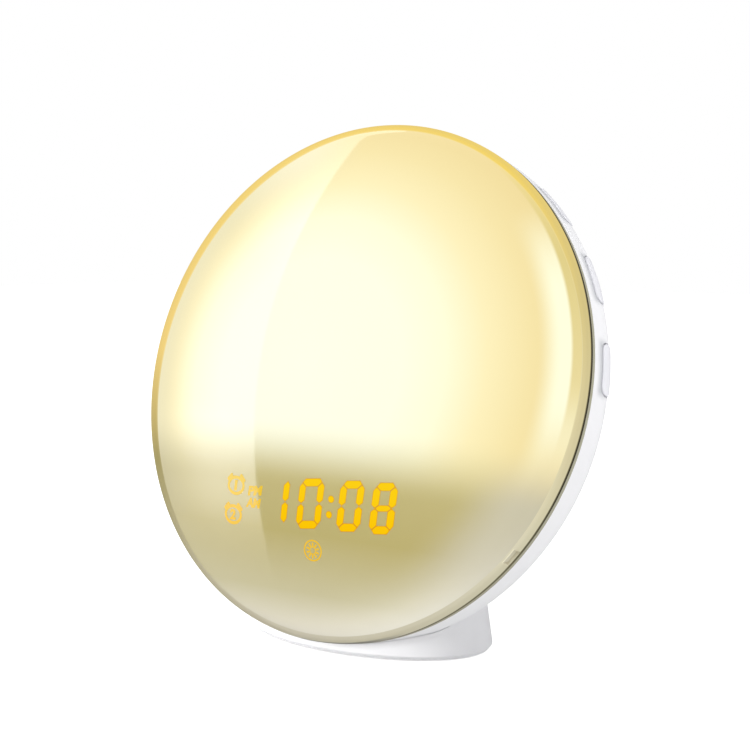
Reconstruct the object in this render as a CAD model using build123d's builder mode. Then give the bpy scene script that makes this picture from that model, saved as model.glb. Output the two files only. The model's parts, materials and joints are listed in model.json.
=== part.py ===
from build123d import *
import math
import os

# Sunrise alarm clock: a round light disc that leans back on a small oval foot.
# Units are millimetres and degrees. The origin is the middle of the foot on the table,
# +Z is up and the clock faces -Y. Depths are measured along the disc's own axis from its
# rim plane: positive towards the front, negative towards the back.

os.makedirs("parts", exist_ok=True)

# ---------------------------------------------------------------- driving dimensions

# Stance of the disc
tilt = 15.0  # how far the disc leans back
belly_height = 1.3  # lowest point of the rear housing above the table
disc_setback = 7.9  # centre of the rim plane in front of the foot's middle

# Dome
disc_radius = 85.0
dome_rise = 24.0  # crown in front of the rim plane
dome_edge_radius = 9.2  # rounding between crown and rim
dome_skirt = 0.5  # short straight stretch at the rim
dome_wall = 2.0
tongue_wall = 2.2  # ring on the dome that plugs into the front frame
tongue_depth = 1.7
tongue_overlap = 0.6  # how far the ring reaches under the dome's wall
notch_angle = -36.0  # small notch for prising the dome off
notch_length = 5.3
notch_height = 3.6
notch_depth = 0.9

# Front frame and seal
seal_gap = 1.1  # dark gap between dome and frame
seal_width = 0.5
seal_inset = 0.8
frame_thick = 1.6
frame_width = 14.3
skirt_wall = 2.0  # ring on the frame that centres the rear housing
skirt_depth = 3.0
groove_floor = 0.8
fit_gap = 0.2  # clearance round parts that plug into each other

# Rear housing
dome_overhang = 0.2  # how far the dome stands proud of the housing and the frame
band_depth = 9.5  # straight band behind the rim plane
shoulder_radius = 12.5
cone_angle = 38.0
back_depth = 57.0  # flat back panel behind the rim plane
back_corner_radius = 12.0
housing_wall = 2.2

# Screw posts between the frame and the housing
post_inset = 8.3  # post axes inside the housing's rim
post_angles = (66.0, 114.0, -30.0, -150.0)
post_radius = 3.5
post_boss_radius = 4.5
post_joint_depth = 16.0  # where post and boss meet
post_floor = 3.0
well_radius = 3.0
pilot_gap = 0.05  # between a screw's thread and its pilot hole
screw_clearance = 0.35
case_screw_radius = 1.25
case_screw_head = 2.7
case_screw_head_height = 2.0
case_screw_grip = 9.0

# Buttons: three on each side of the rim and one on top
button_angles = {"low": 6.5, "mid": 26.0, "high": 45.5}
button_length = 15.6
snooze_length = 30.0
button_width = 7.2
button_corner = 2.8
button_depth = 11.5  # middle of the buttons behind the rim plane
button_proud = 0.4
button_edge = 0.3  # rounding of a button's outer edge
button_gap = 0.35  # clearance round a button in its opening
button_travel = 0.6
flange_margin = 1.3
flange_inset = 6.2  # foot of a button's flange inside the housing's rim
stem_size = 4.0
stem_inset = 9.6

# Key boards and switches
key_board_inset = 11.4  # outer edge of the boards inside the housing's rim
key_board_width = 10.6
key_board_angle = 56.0
top_board_angle = 28.0
key_board_thick = 1.6
switch_width = 6.0
switch_height = 5.0
switch_deep = 3.6
plunger_radius = 1.2
plunger_gap = 0.25
plunger_inside = 1.0  # how much of the plunger is inside its switch at rest
key_screw_inset = 3.2
key_screw_angle = 19.5
small_boss_radius = 2.6

# Light unit
reflector_wall = 1.2
reflector_floor_depth = 20.0
reflector_overlap = 0.5  # how far the cone's mouth is behind the frame
reflector_spread = 15.0  # the cone's mouth is this much larger in radius than its floor
reflector_flange = 1.7
led_board_margin = 6.0  # floor left free round the board
led_board_thick = 1.6
led_board_gap = 1.4  # between the board and the divider
warm_led_size = 3.0
warm_led_height = 0.8
colour_led_size = 5.0
colour_led_height = 1.4
led_spacing_across = 14.0
led_spacing_up = 13.0
led_middle = 10.0  # middle of the LED pattern above the disc's centre
led_edge = 11.0  # ring at the board's edge that stays free of LEDs
led_steps = 4  # most steps of the LED pattern on each side of its middle
led_screw_inset = 7.0
led_screw_angles = (12.0, 90.0, 168.0)
lead_hole_radius = 7.0
divider_gap = 1.7  # between the divider and the display
divider_thick = 1.2
dome_clearance = 0.6

# Display
display_inset = 38.5  # middle of the display inside the dome's lowest edge
display_shift = -1.0
display_width = 77.0
display_tall = 34.0
display_face = 11.0  # front of the display module
display_module_depth = 7.0
display_board_thick = 1.6
tray_wall = 1.5
tray_leg_radius = 3.0
tray_leg_spread = 50.0
tray_leg_rise = 4.5
digit_height = 15.5
digit_width = 10.2
digit_stroke = 1.6
digit_spacing = 12.4
colon_space = 3.4
colon_spread = 5.4
colon_dot_radius = 1.0
mark_relief = 0.3
icon_radius = 3.4
icon_stroke = 0.8
lamp_size = (5.0, 2.4)  # small windows beside the alarm icons
digit_row_offset = (8.0, 4.3)  # these four are measured from the display's middle
icon_offsets = ((-31.2, 7.3), (-31.2, -2.2), (4.0, -10.3))
lamp_offsets = ((-23.0, 5.9), (-23.0, 1.7))
ribbon_offset = (1.0, 10.5)
ribbon_width = 14.0
ribbon_thick = 0.4
ribbon_gap = 1.0  # clearance round the ribbon in its slots

# Control board
main_board_width = 76.0
main_board_tall = 48.0
main_board_middle = (0.0, -12.0)
main_board_depth = 36.0  # its rear face
board_thick = 1.6
board_boss_radius = 3.0
board_screw_inset = 4.0
small_screw_radius = 0.9
small_screw_head = 1.9
small_screw_head_height = 1.3
small_screw_grip = 5.0
chip_layout = (  # place across and up the disc, width, height and thickness
    (-24.0, -4.0, 10.0, 10.0, 1.6),
    (12.0, -12.0, 14.0, 7.0, 1.8),
    (26.0, -2.0, 8.0, 6.0, 1.6),
    (-12.0, -22.0, 6.0, 5.0, 1.5),
)
capacitor_places = ((-32.0, -16.0), (30.0, -18.0), (20.0, -28.0))
capacitor_radius = 4.0
capacitor_height = 11.0
wire_radius = 0.7
led_lead_spread = 8.0

# Power inlet
inlet_place = (-22.0, -20.0)
inlet_width = 8.9
inlet_height = 3.2
inlet_wall = 0.35
inlet_length = 7.2
tongue_margin = 1.1  # between the tongue's sides and the shell
tongue_thick = 0.7
tongue_short = 1.2  # how far the tongue ends inside the shell
inlet_board_width = 22.0
inlet_board_tall = 10.0
inlet_post_spread = 16.0

# Speaker and its grille
speaker_place = (0.0, 14.0)
speaker_radius = 20.0
speaker_bore = 15.0
basket_wall = 1.0
speaker_screw_circle = 18.0
speaker_screw_angles = (90.0, 210.0, 330.0)
speaker_screw_grip = 1.5
speaker_flange_thick = 1.4
speaker_basket_depth = 8.6
magnet_radius = 9.0
magnet_height = 6.6
magnet_chamfer = 0.4
cone_thick = 0.6
cone_lip = 1.0
cone_setback = 0.8  # cone's rim behind the flange's face
cone_neck_gap = 2.0  # dust cap above the basket's floor
speaker_lead_inset = 1.5
speaker_lead_drop = 4.0
grille_hole_radius = 1.1
grille_spacing = 4.5
grille_rings = 3
grille_first_ring = 6  # holes in the innermost ring

# Back-up cell
cell_place = (13.0, -21.0)
cell_radius = 10.0
cell_thick = 3.2
cell_holder_size = 26.0
cell_holder_floor = 1.6
cell_pocket_depth = 4.6
cell_contact_size = (3.0, 9.0)
cell_contact_spread = 8.0
cell_contact_thick = 0.6
cell_gap = 0.3
door_size = 24.4
door_plate = 1.0
door_gap = 0.3
door_ledge = 1.1  # width of the step that the door's plate rests on
nail_slot_size = (10.0, 1.6)
nail_slot_inset = 2.4

# Foot
foot_long = 91.6
foot_deep = 56.5
foot_flare = 8.0  # lean of the foot's wall
foot_rise = 32.0  # height that the seat is cut from
foot_wall = 2.4
foot_roof = 2.4
foot_seam = 0.12  # joint line between foot and housing
foot_lip = 1.3  # bevel round the bottom edge
foot_fillet = 2.5  # hollow rounding where the foot's wall runs into the housing
pad_height = 0.5
pad_width = 4.0
pad_inset = 5.5
plate_thick = 2.0
plate_front = 8.0  # its front edge in front of the foot's middle
plate_gap = 0.25
foot_screw_places = ((-16.0, 14.0), (16.0, 14.0))
foot_boss_radius = 4.0
foot_screw_seat = 10.0  # height of the screw heads' seat
foot_screw_top = 25.0
plate_screw_places = ((-30.0, 4.0), (30.0, 4.0), (0.0, 19.0))
plate_boss_radius = 3.2

# ---------------------------------------------------------------- frame of the disc

lean = math.radians(tilt)
rear_radius = disc_radius - dome_overhang
shoulder_centre = rear_radius - shoulder_radius
disc_height = (
    belly_height
    + shoulder_radius
    + shoulder_centre * math.cos(lean)
    + band_depth * math.sin(lean)
)
disc_centre = Vector(0, -disc_setback, disc_height)
facing = Vector(0, -math.cos(lean), math.sin(lean))
disc = Plane(origin=disc_centre, x_dir=(1, 0, 0), z_dir=facing)
disc_axis = Axis(disc_centre, facing)
section = Plane(origin=disc_centre, x_dir=disc.y_dir, z_dir=(1, 0, 0))

# Crown of the dome: an arc centred on the disc's axis that meets the edge rounding smoothly
edge_centre = disc_radius - dome_edge_radius
crown_height = dome_rise - dome_skirt
cap_radius = (edge_centre**2 + crown_height**2 - dome_edge_radius**2) / (
    2 * (crown_height - dome_edge_radius)
)
cap_centre = dome_rise - cap_radius
cap_angle = math.degrees(math.atan2(edge_centre, cap_radius - crown_height))

# Back of the housing: band, shoulder arc, straight cone, corner arc and flat panel
slope = math.radians(cone_angle)
corner_depth = back_depth - back_corner_radius
corner_centre = (
    shoulder_centre
    + (
        shoulder_radius
        - back_corner_radius
        - (corner_depth - band_depth) * math.sin(slope)
    )
    / math.cos(slope)
)


def dome_solid(inset, base):
    """Everything inside the dome's outer surface moved inwards by inset, down to a depth."""
    with BuildPart() as body:
        with BuildSketch(section):
            with BuildLine():
                crown = CenterArc((0, cap_centre), cap_radius - inset, 90, -cap_angle)
                edge = CenterArc(
                    (edge_centre, dome_skirt),
                    dome_edge_radius - inset,
                    90 - cap_angle,
                    cap_angle - 90,
                )
                side = Line(edge @ 1, (disc_radius - inset, base))
                floor = Line(side @ 1, (0, base))
                Line(floor @ 1, crown @ 0)
            make_face()
        revolve(axis=disc_axis)
    return body.part


def bowl_solid(inset, front):
    """Everything inside the housing's outer surface moved inwards by inset, up to a depth."""
    with BuildPart() as body:
        with BuildSketch(section):
            with BuildLine():
                band = Line(
                    (rear_radius - inset, front), (rear_radius - inset, -band_depth)
                )
                shoulder = CenterArc(
                    (shoulder_centre, -band_depth),
                    shoulder_radius - inset,
                    0,
                    -cone_angle,
                )
                corner = CenterArc(
                    (corner_centre, -corner_depth),
                    back_corner_radius - inset,
                    -cone_angle,
                    cone_angle - 90,
                )
                Line(shoulder @ 1, corner @ 0)
                back = Line(corner @ 1, (0, inset - back_depth))
                axis = Line(back @ 1, (0, front))
                Line(axis @ 1, band @ 0)
            make_face()
        revolve(axis=disc_axis)
    return body.part


def radial(angle, depth):
    """Plane on the disc's axis that faces the rim at an angle; its y runs to the front."""
    turn = math.radians(angle)
    outward = disc.x_dir * math.cos(turn) + disc.y_dir * math.sin(turn)
    return Plane(
        origin=disc_centre - facing * depth,
        x_dir=facing.cross(outward),
        z_dir=outward,
    )


def sector(plane, inner, outer, middle, span):
    """Face of a ring's sector between two radii, centred on an angle."""
    with BuildSketch(plane) as face:
        with BuildLine():
            far = CenterArc((0, 0), outer, middle - span / 2, span)
            near = CenterArc((0, 0), inner, middle - span / 2, span)
            Line(far @ 0, near @ 0)
            Line(far @ 1, near @ 1)
        make_face()
    return face.sketch


def on_circle(radius, angle):
    """Place on the disc at a radius and an angle."""
    turn = math.radians(angle)
    return (radius * math.cos(turn), radius * math.sin(turn))


# ---------------------------------------------------------------- dome, seal and frame

frame_back = seal_gap + frame_thick
frame_inner_radius = rear_radius - frame_width
tongue_outer = disc_radius - dome_wall + tongue_overlap
skirt_radius = rear_radius - housing_wall - fit_gap
post_places = [on_circle(rear_radius - post_inset, angle) for angle in post_angles]

dome_outside = dome_solid(0, 0)
dome_inside = dome_solid(dome_wall, -1)

with BuildPart() as dome:
    add(dome_outside)
    add(dome_inside, mode=Mode.SUBTRACT)
    with BuildSketch(disc.offset(-tongue_depth)):
        Circle(tongue_outer)
        Circle(tongue_outer - tongue_wall, mode=Mode.SUBTRACT)
    extrude(amount=tongue_depth + dome_skirt)
    # a shallow notch in the rim takes a fingernail or a blade
    with BuildSketch(radial(notch_angle, 0).offset(disc_radius - notch_depth)):
        with Locations((0, notch_height / 2)):
            Rectangle(notch_length, notch_height)
    extrude(amount=2 * notch_depth, mode=Mode.SUBTRACT)
dome.part.label = "dome"
export_step(dome.part, "parts/dome.step")

with BuildPart() as dome_gasket:
    with BuildSketch(disc.offset(-seal_gap)):
        Circle(disc_radius - seal_inset)
        Circle(disc_radius - seal_inset - seal_width, mode=Mode.SUBTRACT)
    extrude(amount=seal_gap)
dome_gasket.part.label = "dome_gasket"
export_step(dome_gasket.part, "parts/dome_gasket.step")

with BuildPart() as front_frame:
    with BuildSketch(disc.offset(-frame_back)):
        Circle(rear_radius)
        Circle(frame_inner_radius, mode=Mode.SUBTRACT)
    extrude(amount=frame_thick)
    with BuildSketch(disc.offset(groove_floor - frame_back)):
        Circle(tongue_outer + fit_gap)
        Circle(tongue_outer - tongue_wall - fit_gap, mode=Mode.SUBTRACT)
    extrude(amount=frame_thick, mode=Mode.SUBTRACT)
    with BuildSketch(disc.offset(-frame_back - skirt_depth)):
        Circle(skirt_radius)
        Circle(skirt_radius - skirt_wall, mode=Mode.SUBTRACT)
    extrude(amount=skirt_depth)
    with BuildSketch(disc.offset(-post_joint_depth)):
        with Locations(*post_places):
            Circle(post_radius)
    extrude(amount=post_joint_depth - frame_back)
    with BuildSketch(disc.offset(-post_joint_depth)):
        with Locations(*post_places):
            Circle(case_screw_radius + pilot_gap)
    extrude(amount=case_screw_grip, mode=Mode.SUBTRACT)
front_frame.part.label = "front_frame"
export_step(front_frame.part, "parts/front_frame.step")

# ---------------------------------------------------------------- rear housing

side_keys = [("right_" + name, angle) for name, angle in button_angles.items()]
side_keys += [("left_" + name, 180 - angle) for name, angle in button_angles.items()]
keys = [(name, angle, button_length) for name, angle in side_keys]
keys.append(("snooze", 90.0, snooze_length))

key_board_outer = rear_radius - key_board_inset
key_board_inner = key_board_outer - key_board_width
key_board_front = button_depth + switch_height / 2
key_board_back = key_board_front + key_board_thick
right_middle = sum(button_angles.values()) / len(button_angles)
key_boards = {
    "right": (right_middle, key_board_angle),
    "left": (180 - right_middle, key_board_angle),
    "top": (90.0, top_board_angle),
}
key_screw_places = [
    on_circle(key_board_inner + key_screw_inset, middle + side * key_screw_angle / 2)
    for middle, _ in key_boards.values()
    for side in (-1, 1)
]

board_screw_places = [
    (
        main_board_middle[0] + side * (main_board_width / 2 - board_screw_inset),
        main_board_middle[1] + end * (main_board_tall / 2 - board_screw_inset),
    )
    for side in (-1, 1)
    for end in (-1, 1)
]
inlet_screw_places = [
    (inlet_place[0] + side * inlet_post_spread / 2, inlet_place[1]) for side in (-1, 1)
]
inner_back = back_depth - housing_wall  # inside face of the back panel
inlet_board_back = back_depth - inlet_length
speaker_screw_places = [
    (
        speaker_place[0] + on_circle(speaker_screw_circle, a)[0],
        speaker_place[1] + on_circle(speaker_screw_circle, a)[1],
    )
    for a in speaker_screw_angles
]

housing_outside = bowl_solid(0, -frame_back)
housing_inside = bowl_solid(housing_wall, 0)

with BuildPart() as bosses:
    with BuildSketch(disc.offset(-back_depth)):
        with Locations(*post_places):
            Circle(post_boss_radius)
    extrude(amount=back_depth - post_joint_depth)
    with BuildSketch(disc.offset(-back_depth)):
        with Locations(*key_screw_places):
            Circle(small_boss_radius)
    extrude(amount=back_depth - key_board_back)
    with BuildSketch(disc.offset(-back_depth)):
        with Locations(*board_screw_places):
            Circle(board_boss_radius)
    extrude(amount=back_depth - main_board_depth)
    with BuildSketch(disc.offset(-back_depth)):
        with Locations(*inlet_screw_places):
            Circle(small_boss_radius)
    extrude(amount=back_depth - inlet_board_back)
    with BuildSketch(Plane.XY):
        with Locations(*foot_screw_places):
            Circle(foot_boss_radius)
    extrude(amount=foot_screw_top)
    add(housing_outside, mode=Mode.INTERSECT)

with BuildPart() as rear_housing:
    add(housing_outside)
    add(housing_inside, mode=Mode.SUBTRACT)
    add(bosses.part)
    # wells and holes for the case screws
    with BuildSketch(disc.offset(-post_joint_depth - post_floor)):
        with Locations(*post_places):
            Circle(well_radius)
    extrude(amount=-back_depth, mode=Mode.SUBTRACT)
    with BuildSketch(disc.offset(-post_joint_depth)):
        with Locations(*post_places):
            Circle(case_screw_radius + screw_clearance)
    extrude(amount=-back_depth, mode=Mode.SUBTRACT)
    # blind pilot holes for the board screws
    with BuildSketch(disc.offset(-key_board_back)):
        with Locations(*key_screw_places):
            Circle(small_screw_radius + pilot_gap)
    extrude(amount=-small_screw_grip, mode=Mode.SUBTRACT)
    with BuildSketch(disc.offset(-main_board_depth)):
        with Locations(*board_screw_places):
            Circle(small_screw_radius + pilot_gap)
    extrude(amount=-small_screw_grip, mode=Mode.SUBTRACT)
    with BuildSketch(disc.offset(-inlet_board_back)):
        with Locations(*inlet_screw_places):
            Circle(small_screw_radius + pilot_gap)
    extrude(amount=-small_screw_grip, mode=Mode.SUBTRACT)
    with BuildSketch(disc.offset(-inner_back)):
        with Locations(*speaker_screw_places):
            Circle(small_screw_radius + pilot_gap)
    extrude(amount=-speaker_screw_grip, mode=Mode.SUBTRACT)
    with BuildSketch(Plane.XY):
        with Locations(*foot_screw_places):
            Circle(case_screw_radius + pilot_gap)
    extrude(amount=foot_screw_top - housing_wall, mode=Mode.SUBTRACT)
    # openings for the buttons
    for name, angle, length in keys:
        with BuildSketch(radial(angle, button_depth).offset(key_board_inner)):
            RectangleRounded(
                length + 2 * button_gap,
                button_width + 2 * button_gap,
                button_corner + button_gap,
            )
        extrude(amount=disc_radius, mode=Mode.SUBTRACT)
    # speaker grille in the back panel
    with BuildSketch(disc.offset(-back_depth)):
        with Locations(speaker_place):
            Circle(grille_hole_radius)
            for ring in range(1, grille_rings + 1):
                with PolarLocations(ring * grille_spacing, ring * grille_first_ring):
                    Circle(grille_hole_radius)
    extrude(amount=housing_wall, mode=Mode.SUBTRACT)
    # power inlet
    with BuildSketch(disc.offset(-back_depth)):
        with Locations(inlet_place):
            SlotOverall(inlet_width + 2 * fit_gap, inlet_height + 2 * fit_gap)
    extrude(amount=housing_wall, mode=Mode.SUBTRACT)
    # battery opening with a rebate for its door
    with BuildSketch(disc.offset(-back_depth)):
        with Locations(cell_place):
            Rectangle(door_size + 2 * door_gap, door_size + 2 * door_gap)
    extrude(amount=door_plate + door_gap, mode=Mode.SUBTRACT)
    with BuildSketch(disc.offset(-back_depth)):
        with Locations(cell_place):
            Rectangle(door_size - 2 * door_ledge, door_size - 2 * door_ledge)
    extrude(amount=housing_wall, mode=Mode.SUBTRACT)
rear_housing.part.label = "rear_housing"
export_step(rear_housing.part, "parts/rear_housing.step")

with BuildPart() as housing_screws:
    with BuildSketch(disc.offset(-post_joint_depth - post_floor)):
        with Locations(*post_places):
            Circle(case_screw_head)
    extrude(amount=-case_screw_head_height)
    with BuildSketch(disc.offset(-post_joint_depth - post_floor)):
        with Locations(*post_places):
            Circle(case_screw_radius)
    extrude(amount=post_floor + case_screw_grip - pilot_gap)
housing_screws.part.label = "housing_screws"
export_step(housing_screws.part, "parts/housing_screws.step")

# ---------------------------------------------------------------- foot

foot_bottom = pad_height
lean_in = foot_rise * math.tan(math.radians(foot_flare))


def foot_solid(inset, low):
    """Tapered oval block inside the foot's outer wall moved inwards by inset."""
    skew = (low - foot_bottom) * math.tan(math.radians(foot_flare))
    with BuildPart() as body:
        with BuildSketch(Plane.XY.offset(low)):
            Ellipse(foot_long / 2 - inset - skew, foot_deep / 2 - inset - skew)
        with BuildSketch(Plane.XY.offset(foot_bottom + foot_rise)):
            Ellipse(foot_long / 2 - inset - lean_in, foot_deep / 2 - inset - lean_in)
        loft(ruled=True)
    return body.part


foot_block = foot_solid(0, foot_bottom)
foot_hollow = foot_solid(foot_wall, foot_bottom)
foot_boss_trim = foot_solid(foot_wall / 2, foot_bottom)
seat = bowl_solid(-foot_seam, dome_rise)
roof_line = bowl_solid(-foot_seam - foot_roof, dome_rise)
plate_top = foot_bottom + plate_thick

with BuildPart() as foot_room:
    add(foot_hollow)
    add(roof_line, mode=Mode.SUBTRACT)
    with BuildSketch(Plane.XY):
        with Locations((0, -foot_deep / 2 - plate_front)):
            Rectangle(foot_long, foot_deep)
    extrude(amount=foot_rise, mode=Mode.SUBTRACT)

with BuildPart() as plate_room:
    with BuildSketch(Plane.XY.offset(foot_bottom)):
        with Locations((0, foot_deep / 2 - plate_front)):
            Rectangle(foot_long, foot_deep)
    extrude(amount=plate_thick)
    add(foot_hollow, mode=Mode.INTERSECT)

with BuildPart() as foot_posts:
    with BuildSketch(Plane.XY.offset(foot_screw_seat)):
        with Locations(*foot_screw_places):
            Circle(foot_boss_radius)
    extrude(amount=foot_rise)
    with BuildSketch(Plane.XY.offset(plate_top)):
        with Locations(*plate_screw_places):
            Circle(plate_boss_radius)
    extrude(amount=foot_rise)
    add(foot_boss_trim, mode=Mode.INTERSECT)

with BuildPart() as foot:
    add(foot_block)
    chamfer(foot.edges().group_by(Axis.Z)[0], foot_lip)
    # the wall is rounded into the housing before the seat is cut out of it again
    add(seat)
    fillet(foot.edges(Select.NEW), foot_fillet)
    with BuildSketch(disc.offset(-seal_gap)):
        Circle(2 * disc_radius)
    extrude(amount=2 * disc_radius, mode=Mode.SUBTRACT)
    add(foot_room.part, mode=Mode.SUBTRACT)
    add(foot_posts.part)
    add(plate_room.part, mode=Mode.SUBTRACT)
    add(seat, mode=Mode.SUBTRACT)
    with BuildSketch(Plane.XY):
        with Locations(*foot_screw_places):
            Circle(case_screw_radius + screw_clearance)
    extrude(amount=2 * foot_rise, mode=Mode.SUBTRACT)
    with BuildSketch(Plane.XY.offset(plate_top)):
        with Locations(*plate_screw_places):
            Circle(small_screw_radius + pilot_gap)
    extrude(amount=small_screw_grip, mode=Mode.SUBTRACT)
foot.part.label = "foot"
export_step(foot.part, "parts/foot.step")

plate_block = foot_solid(foot_wall + plate_gap, foot_bottom)

with BuildPart() as base_plate:
    with BuildSketch(Plane.XY.offset(foot_bottom)):
        with Locations((0, foot_deep / 2 - plate_front + plate_gap)):
            Rectangle(foot_long, foot_deep)
    extrude(amount=plate_thick - plate_gap)
    add(plate_block, mode=Mode.INTERSECT)
    with BuildSketch(Plane.XY.offset(foot_bottom + small_screw_head_height)):
        with Locations(*plate_screw_places):
            Circle(small_screw_head + fit_gap)
    extrude(amount=-small_screw_head_height, mode=Mode.SUBTRACT)
    with BuildSketch(Plane.XY.offset(foot_bottom)):
        with Locations(*plate_screw_places):
            Circle(small_screw_radius + fit_gap)
    extrude(amount=plate_thick, mode=Mode.SUBTRACT)
base_plate.part.label = "base_plate"
export_step(base_plate.part, "parts/base_plate.step")

with BuildPart() as foot_pad:
    with BuildSketch(Plane.XY):
        Ellipse(foot_long / 2 - pad_inset, foot_deep / 2 - pad_inset)
        Ellipse(
            foot_long / 2 - pad_inset - pad_width,
            foot_deep / 2 - pad_inset - pad_width,
            mode=Mode.SUBTRACT,
        )
    extrude(amount=pad_height)
foot_pad.part.label = "foot_pad"
export_step(foot_pad.part, "parts/foot_pad.step")

with BuildPart() as foot_screws:
    with BuildSketch(Plane.XY.offset(foot_screw_seat)):
        with Locations(*foot_screw_places):
            Circle(case_screw_head)
    extrude(amount=-case_screw_head_height)
    with BuildSketch(Plane.XY.offset(foot_screw_seat)):
        with Locations(*foot_screw_places):
            Circle(case_screw_radius)
    extrude(amount=foot_screw_top - housing_wall - foot_screw_seat - pilot_gap)
foot_screws.part.label = "foot_screws"
export_step(foot_screws.part, "parts/foot_screws.step")

with BuildPart() as base_screws:
    with BuildSketch(Plane.XY.offset(foot_bottom + small_screw_head_height)):
        with Locations(*plate_screw_places):
            Circle(small_screw_head)
    extrude(amount=-small_screw_head_height)
    with BuildSketch(Plane.XY.offset(foot_bottom + small_screw_head_height)):
        with Locations(*plate_screw_places):
            Circle(small_screw_radius)
    extrude(
        amount=plate_thick - small_screw_head_height + small_screw_grip - pilot_gap
    )
base_screws.part.label = "base_screws"
export_step(base_screws.part, "parts/base_screws.step")

# ---------------------------------------------------------------- buttons and switches

switch_face = key_board_outer - 2 * fit_gap  # outward face of every switch
flange_base = rear_radius - flange_inset
stem_end = rear_radius - stem_inset
cap_limit = bowl_solid(-button_proud, 0)
flange_limit = bowl_solid(housing_wall + button_gap, 0)

for name, angle, length in keys:
    facing_out = radial(angle, button_depth)
    with BuildPart() as flange:
        with BuildSketch(facing_out.offset(flange_base)):
            RectangleRounded(
                length + 2 * flange_margin,
                button_width + 2 * flange_margin,
                button_corner,
            )
        extrude(amount=disc_radius - flange_base)
        add(flange_limit, mode=Mode.INTERSECT)

    with BuildPart() as button:
        with BuildSketch(facing_out.offset(flange_base)):
            RectangleRounded(length, button_width, button_corner)
        extrude(amount=disc_radius)
        add(cap_limit, mode=Mode.INTERSECT)
        fillet(button.edges(Select.NEW), button_edge)
        add(flange.part)
        with BuildSketch(facing_out.offset(stem_end)):
            Rectangle(stem_size, stem_size)
        extrude(amount=flange_base - stem_end)
    button_name = "snooze_button" if name == "snooze" else "button_" + name
    button.part.label = button_name
    export_step(button.part, "parts/" + button_name + ".step")

    with BuildPart() as plunger:
        with BuildSketch(facing_out.offset(switch_face - plunger_inside)):
            Circle(plunger_radius)
        extrude(amount=stem_end - switch_face + plunger_inside)
    plunger_name = "plunger_" + name
    plunger.part.label = plunger_name
    export_step(plunger.part, "parts/" + plunger_name + ".step")

with BuildPart() as switch_bodies:
    for name, angle, length in keys:
        facing_out = radial(angle, button_depth)
        with BuildSketch(facing_out.offset(switch_face - switch_deep)):
            Rectangle(switch_width, switch_height)
        extrude(amount=switch_deep)
        with BuildSketch(facing_out.offset(switch_face)):
            Circle(plunger_radius + plunger_gap)
        extrude(
            amount=-plunger_inside - button_travel - plunger_gap, mode=Mode.SUBTRACT
        )
switch_bodies.part.label = "switch_bodies"
export_step(switch_bodies.part, "parts/switch_bodies.step")

key_board_plane = disc.offset(-key_board_back)

for side, (middle, span) in key_boards.items():
    outline = sector(key_board_plane, key_board_inner, key_board_outer, middle, span)
    with BuildPart() as key_board:
        extrude(outline, amount=key_board_thick)
        with BuildSketch(key_board_plane):
            with Locations(*key_screw_places):
                Circle(small_screw_radius + fit_gap)
        extrude(amount=key_board_thick, mode=Mode.SUBTRACT)
    key_board.part.label = "switch_board_" + side
    export_step(key_board.part, "parts/switch_board_" + side + ".step")

# ---------------------------------------------------------------- light unit

reflector_inner_floor = reflector_floor_depth - reflector_wall
led_board_front = reflector_inner_floor - led_board_thick
reflector_top_radius = frame_inner_radius + reflector_overlap
reflector_floor_radius = reflector_top_radius - reflector_spread
led_board_radius = reflector_floor_radius - led_board_margin
led_screw_places = [
    on_circle(led_board_radius - led_screw_inset, angle) for angle in led_screw_angles
]
display_middle = (display_shift, display_inset - disc_radius)
divider_middle = display_middle[1] + display_tall / 2 + divider_gap + divider_thick / 2
led_board_low = divider_middle + divider_thick / 2 + led_board_gap


def from_display(offset):
    """Place on the disc that is measured from the display's middle."""
    return (display_middle[0] + offset[0], display_middle[1] + offset[1])


ribbon_place = from_display(ribbon_offset)


def led_places(shift):
    """Grid places for LEDs that fit on the board, moved by a share of the spacing."""
    reach = led_board_radius - led_edge
    lowest = led_board_low + led_edge / 2
    places = []
    for column in range(-led_steps, led_steps + 1):
        for row in range(-led_steps, led_steps + 1):
            x = (column + shift) * led_spacing_across
            y = led_middle + (row + shift) * led_spacing_up
            if math.hypot(x, y) < reach and y > lowest:
                places.append((x, y))
    return places

with BuildPart() as reflector:
    with BuildSketch(section):
        with BuildLine():
            Polyline(
                (0, -reflector_floor_depth),
                (reflector_floor_radius, -reflector_floor_depth),
                (reflector_top_radius, -frame_back - reflector_wall),
                (reflector_top_radius + reflector_flange, -frame_back - reflector_wall),
                (reflector_top_radius + reflector_flange, -frame_back),
                (reflector_top_radius - reflector_wall, -frame_back),
                (reflector_floor_radius - reflector_wall, -reflector_inner_floor),
                (0, -reflector_inner_floor),
                close=True,
            )
        make_face()
    revolve(axis=disc_axis)
    with BuildSketch(disc.offset(-reflector_inner_floor)):
        with Locations(*led_screw_places):
            Circle(small_boss_radius)
    extrude(amount=-small_screw_grip - reflector_wall)
    with BuildSketch(disc.offset(-reflector_inner_floor)):
        with Locations(*led_screw_places):
            Circle(small_screw_radius + pilot_gap)
    extrude(amount=-small_screw_grip, mode=Mode.SUBTRACT)
    with BuildSketch(disc.offset(-reflector_floor_depth)):
        Circle(lead_hole_radius)
        with Locations(ribbon_place):
            Rectangle(ribbon_width + 2 * ribbon_gap, ribbon_thick + 2 * ribbon_gap)
    extrude(amount=reflector_wall, mode=Mode.SUBTRACT)
reflector.part.label = "reflector"
export_step(reflector.part, "parts/reflector.step")

with BuildPart() as led_board:
    with BuildSketch(disc.offset(-reflector_inner_floor)):
        Circle(led_board_radius)
        with Locations((0, led_board_low - led_board_radius)):
            Rectangle(2 * led_board_radius, 2 * led_board_radius, mode=Mode.SUBTRACT)
        with Locations(*led_screw_places):
            Circle(small_screw_radius + fit_gap, mode=Mode.SUBTRACT)
    extrude(amount=led_board_thick)
led_board.part.label = "led_board"
export_step(led_board.part, "parts/led_board.step")

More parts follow.
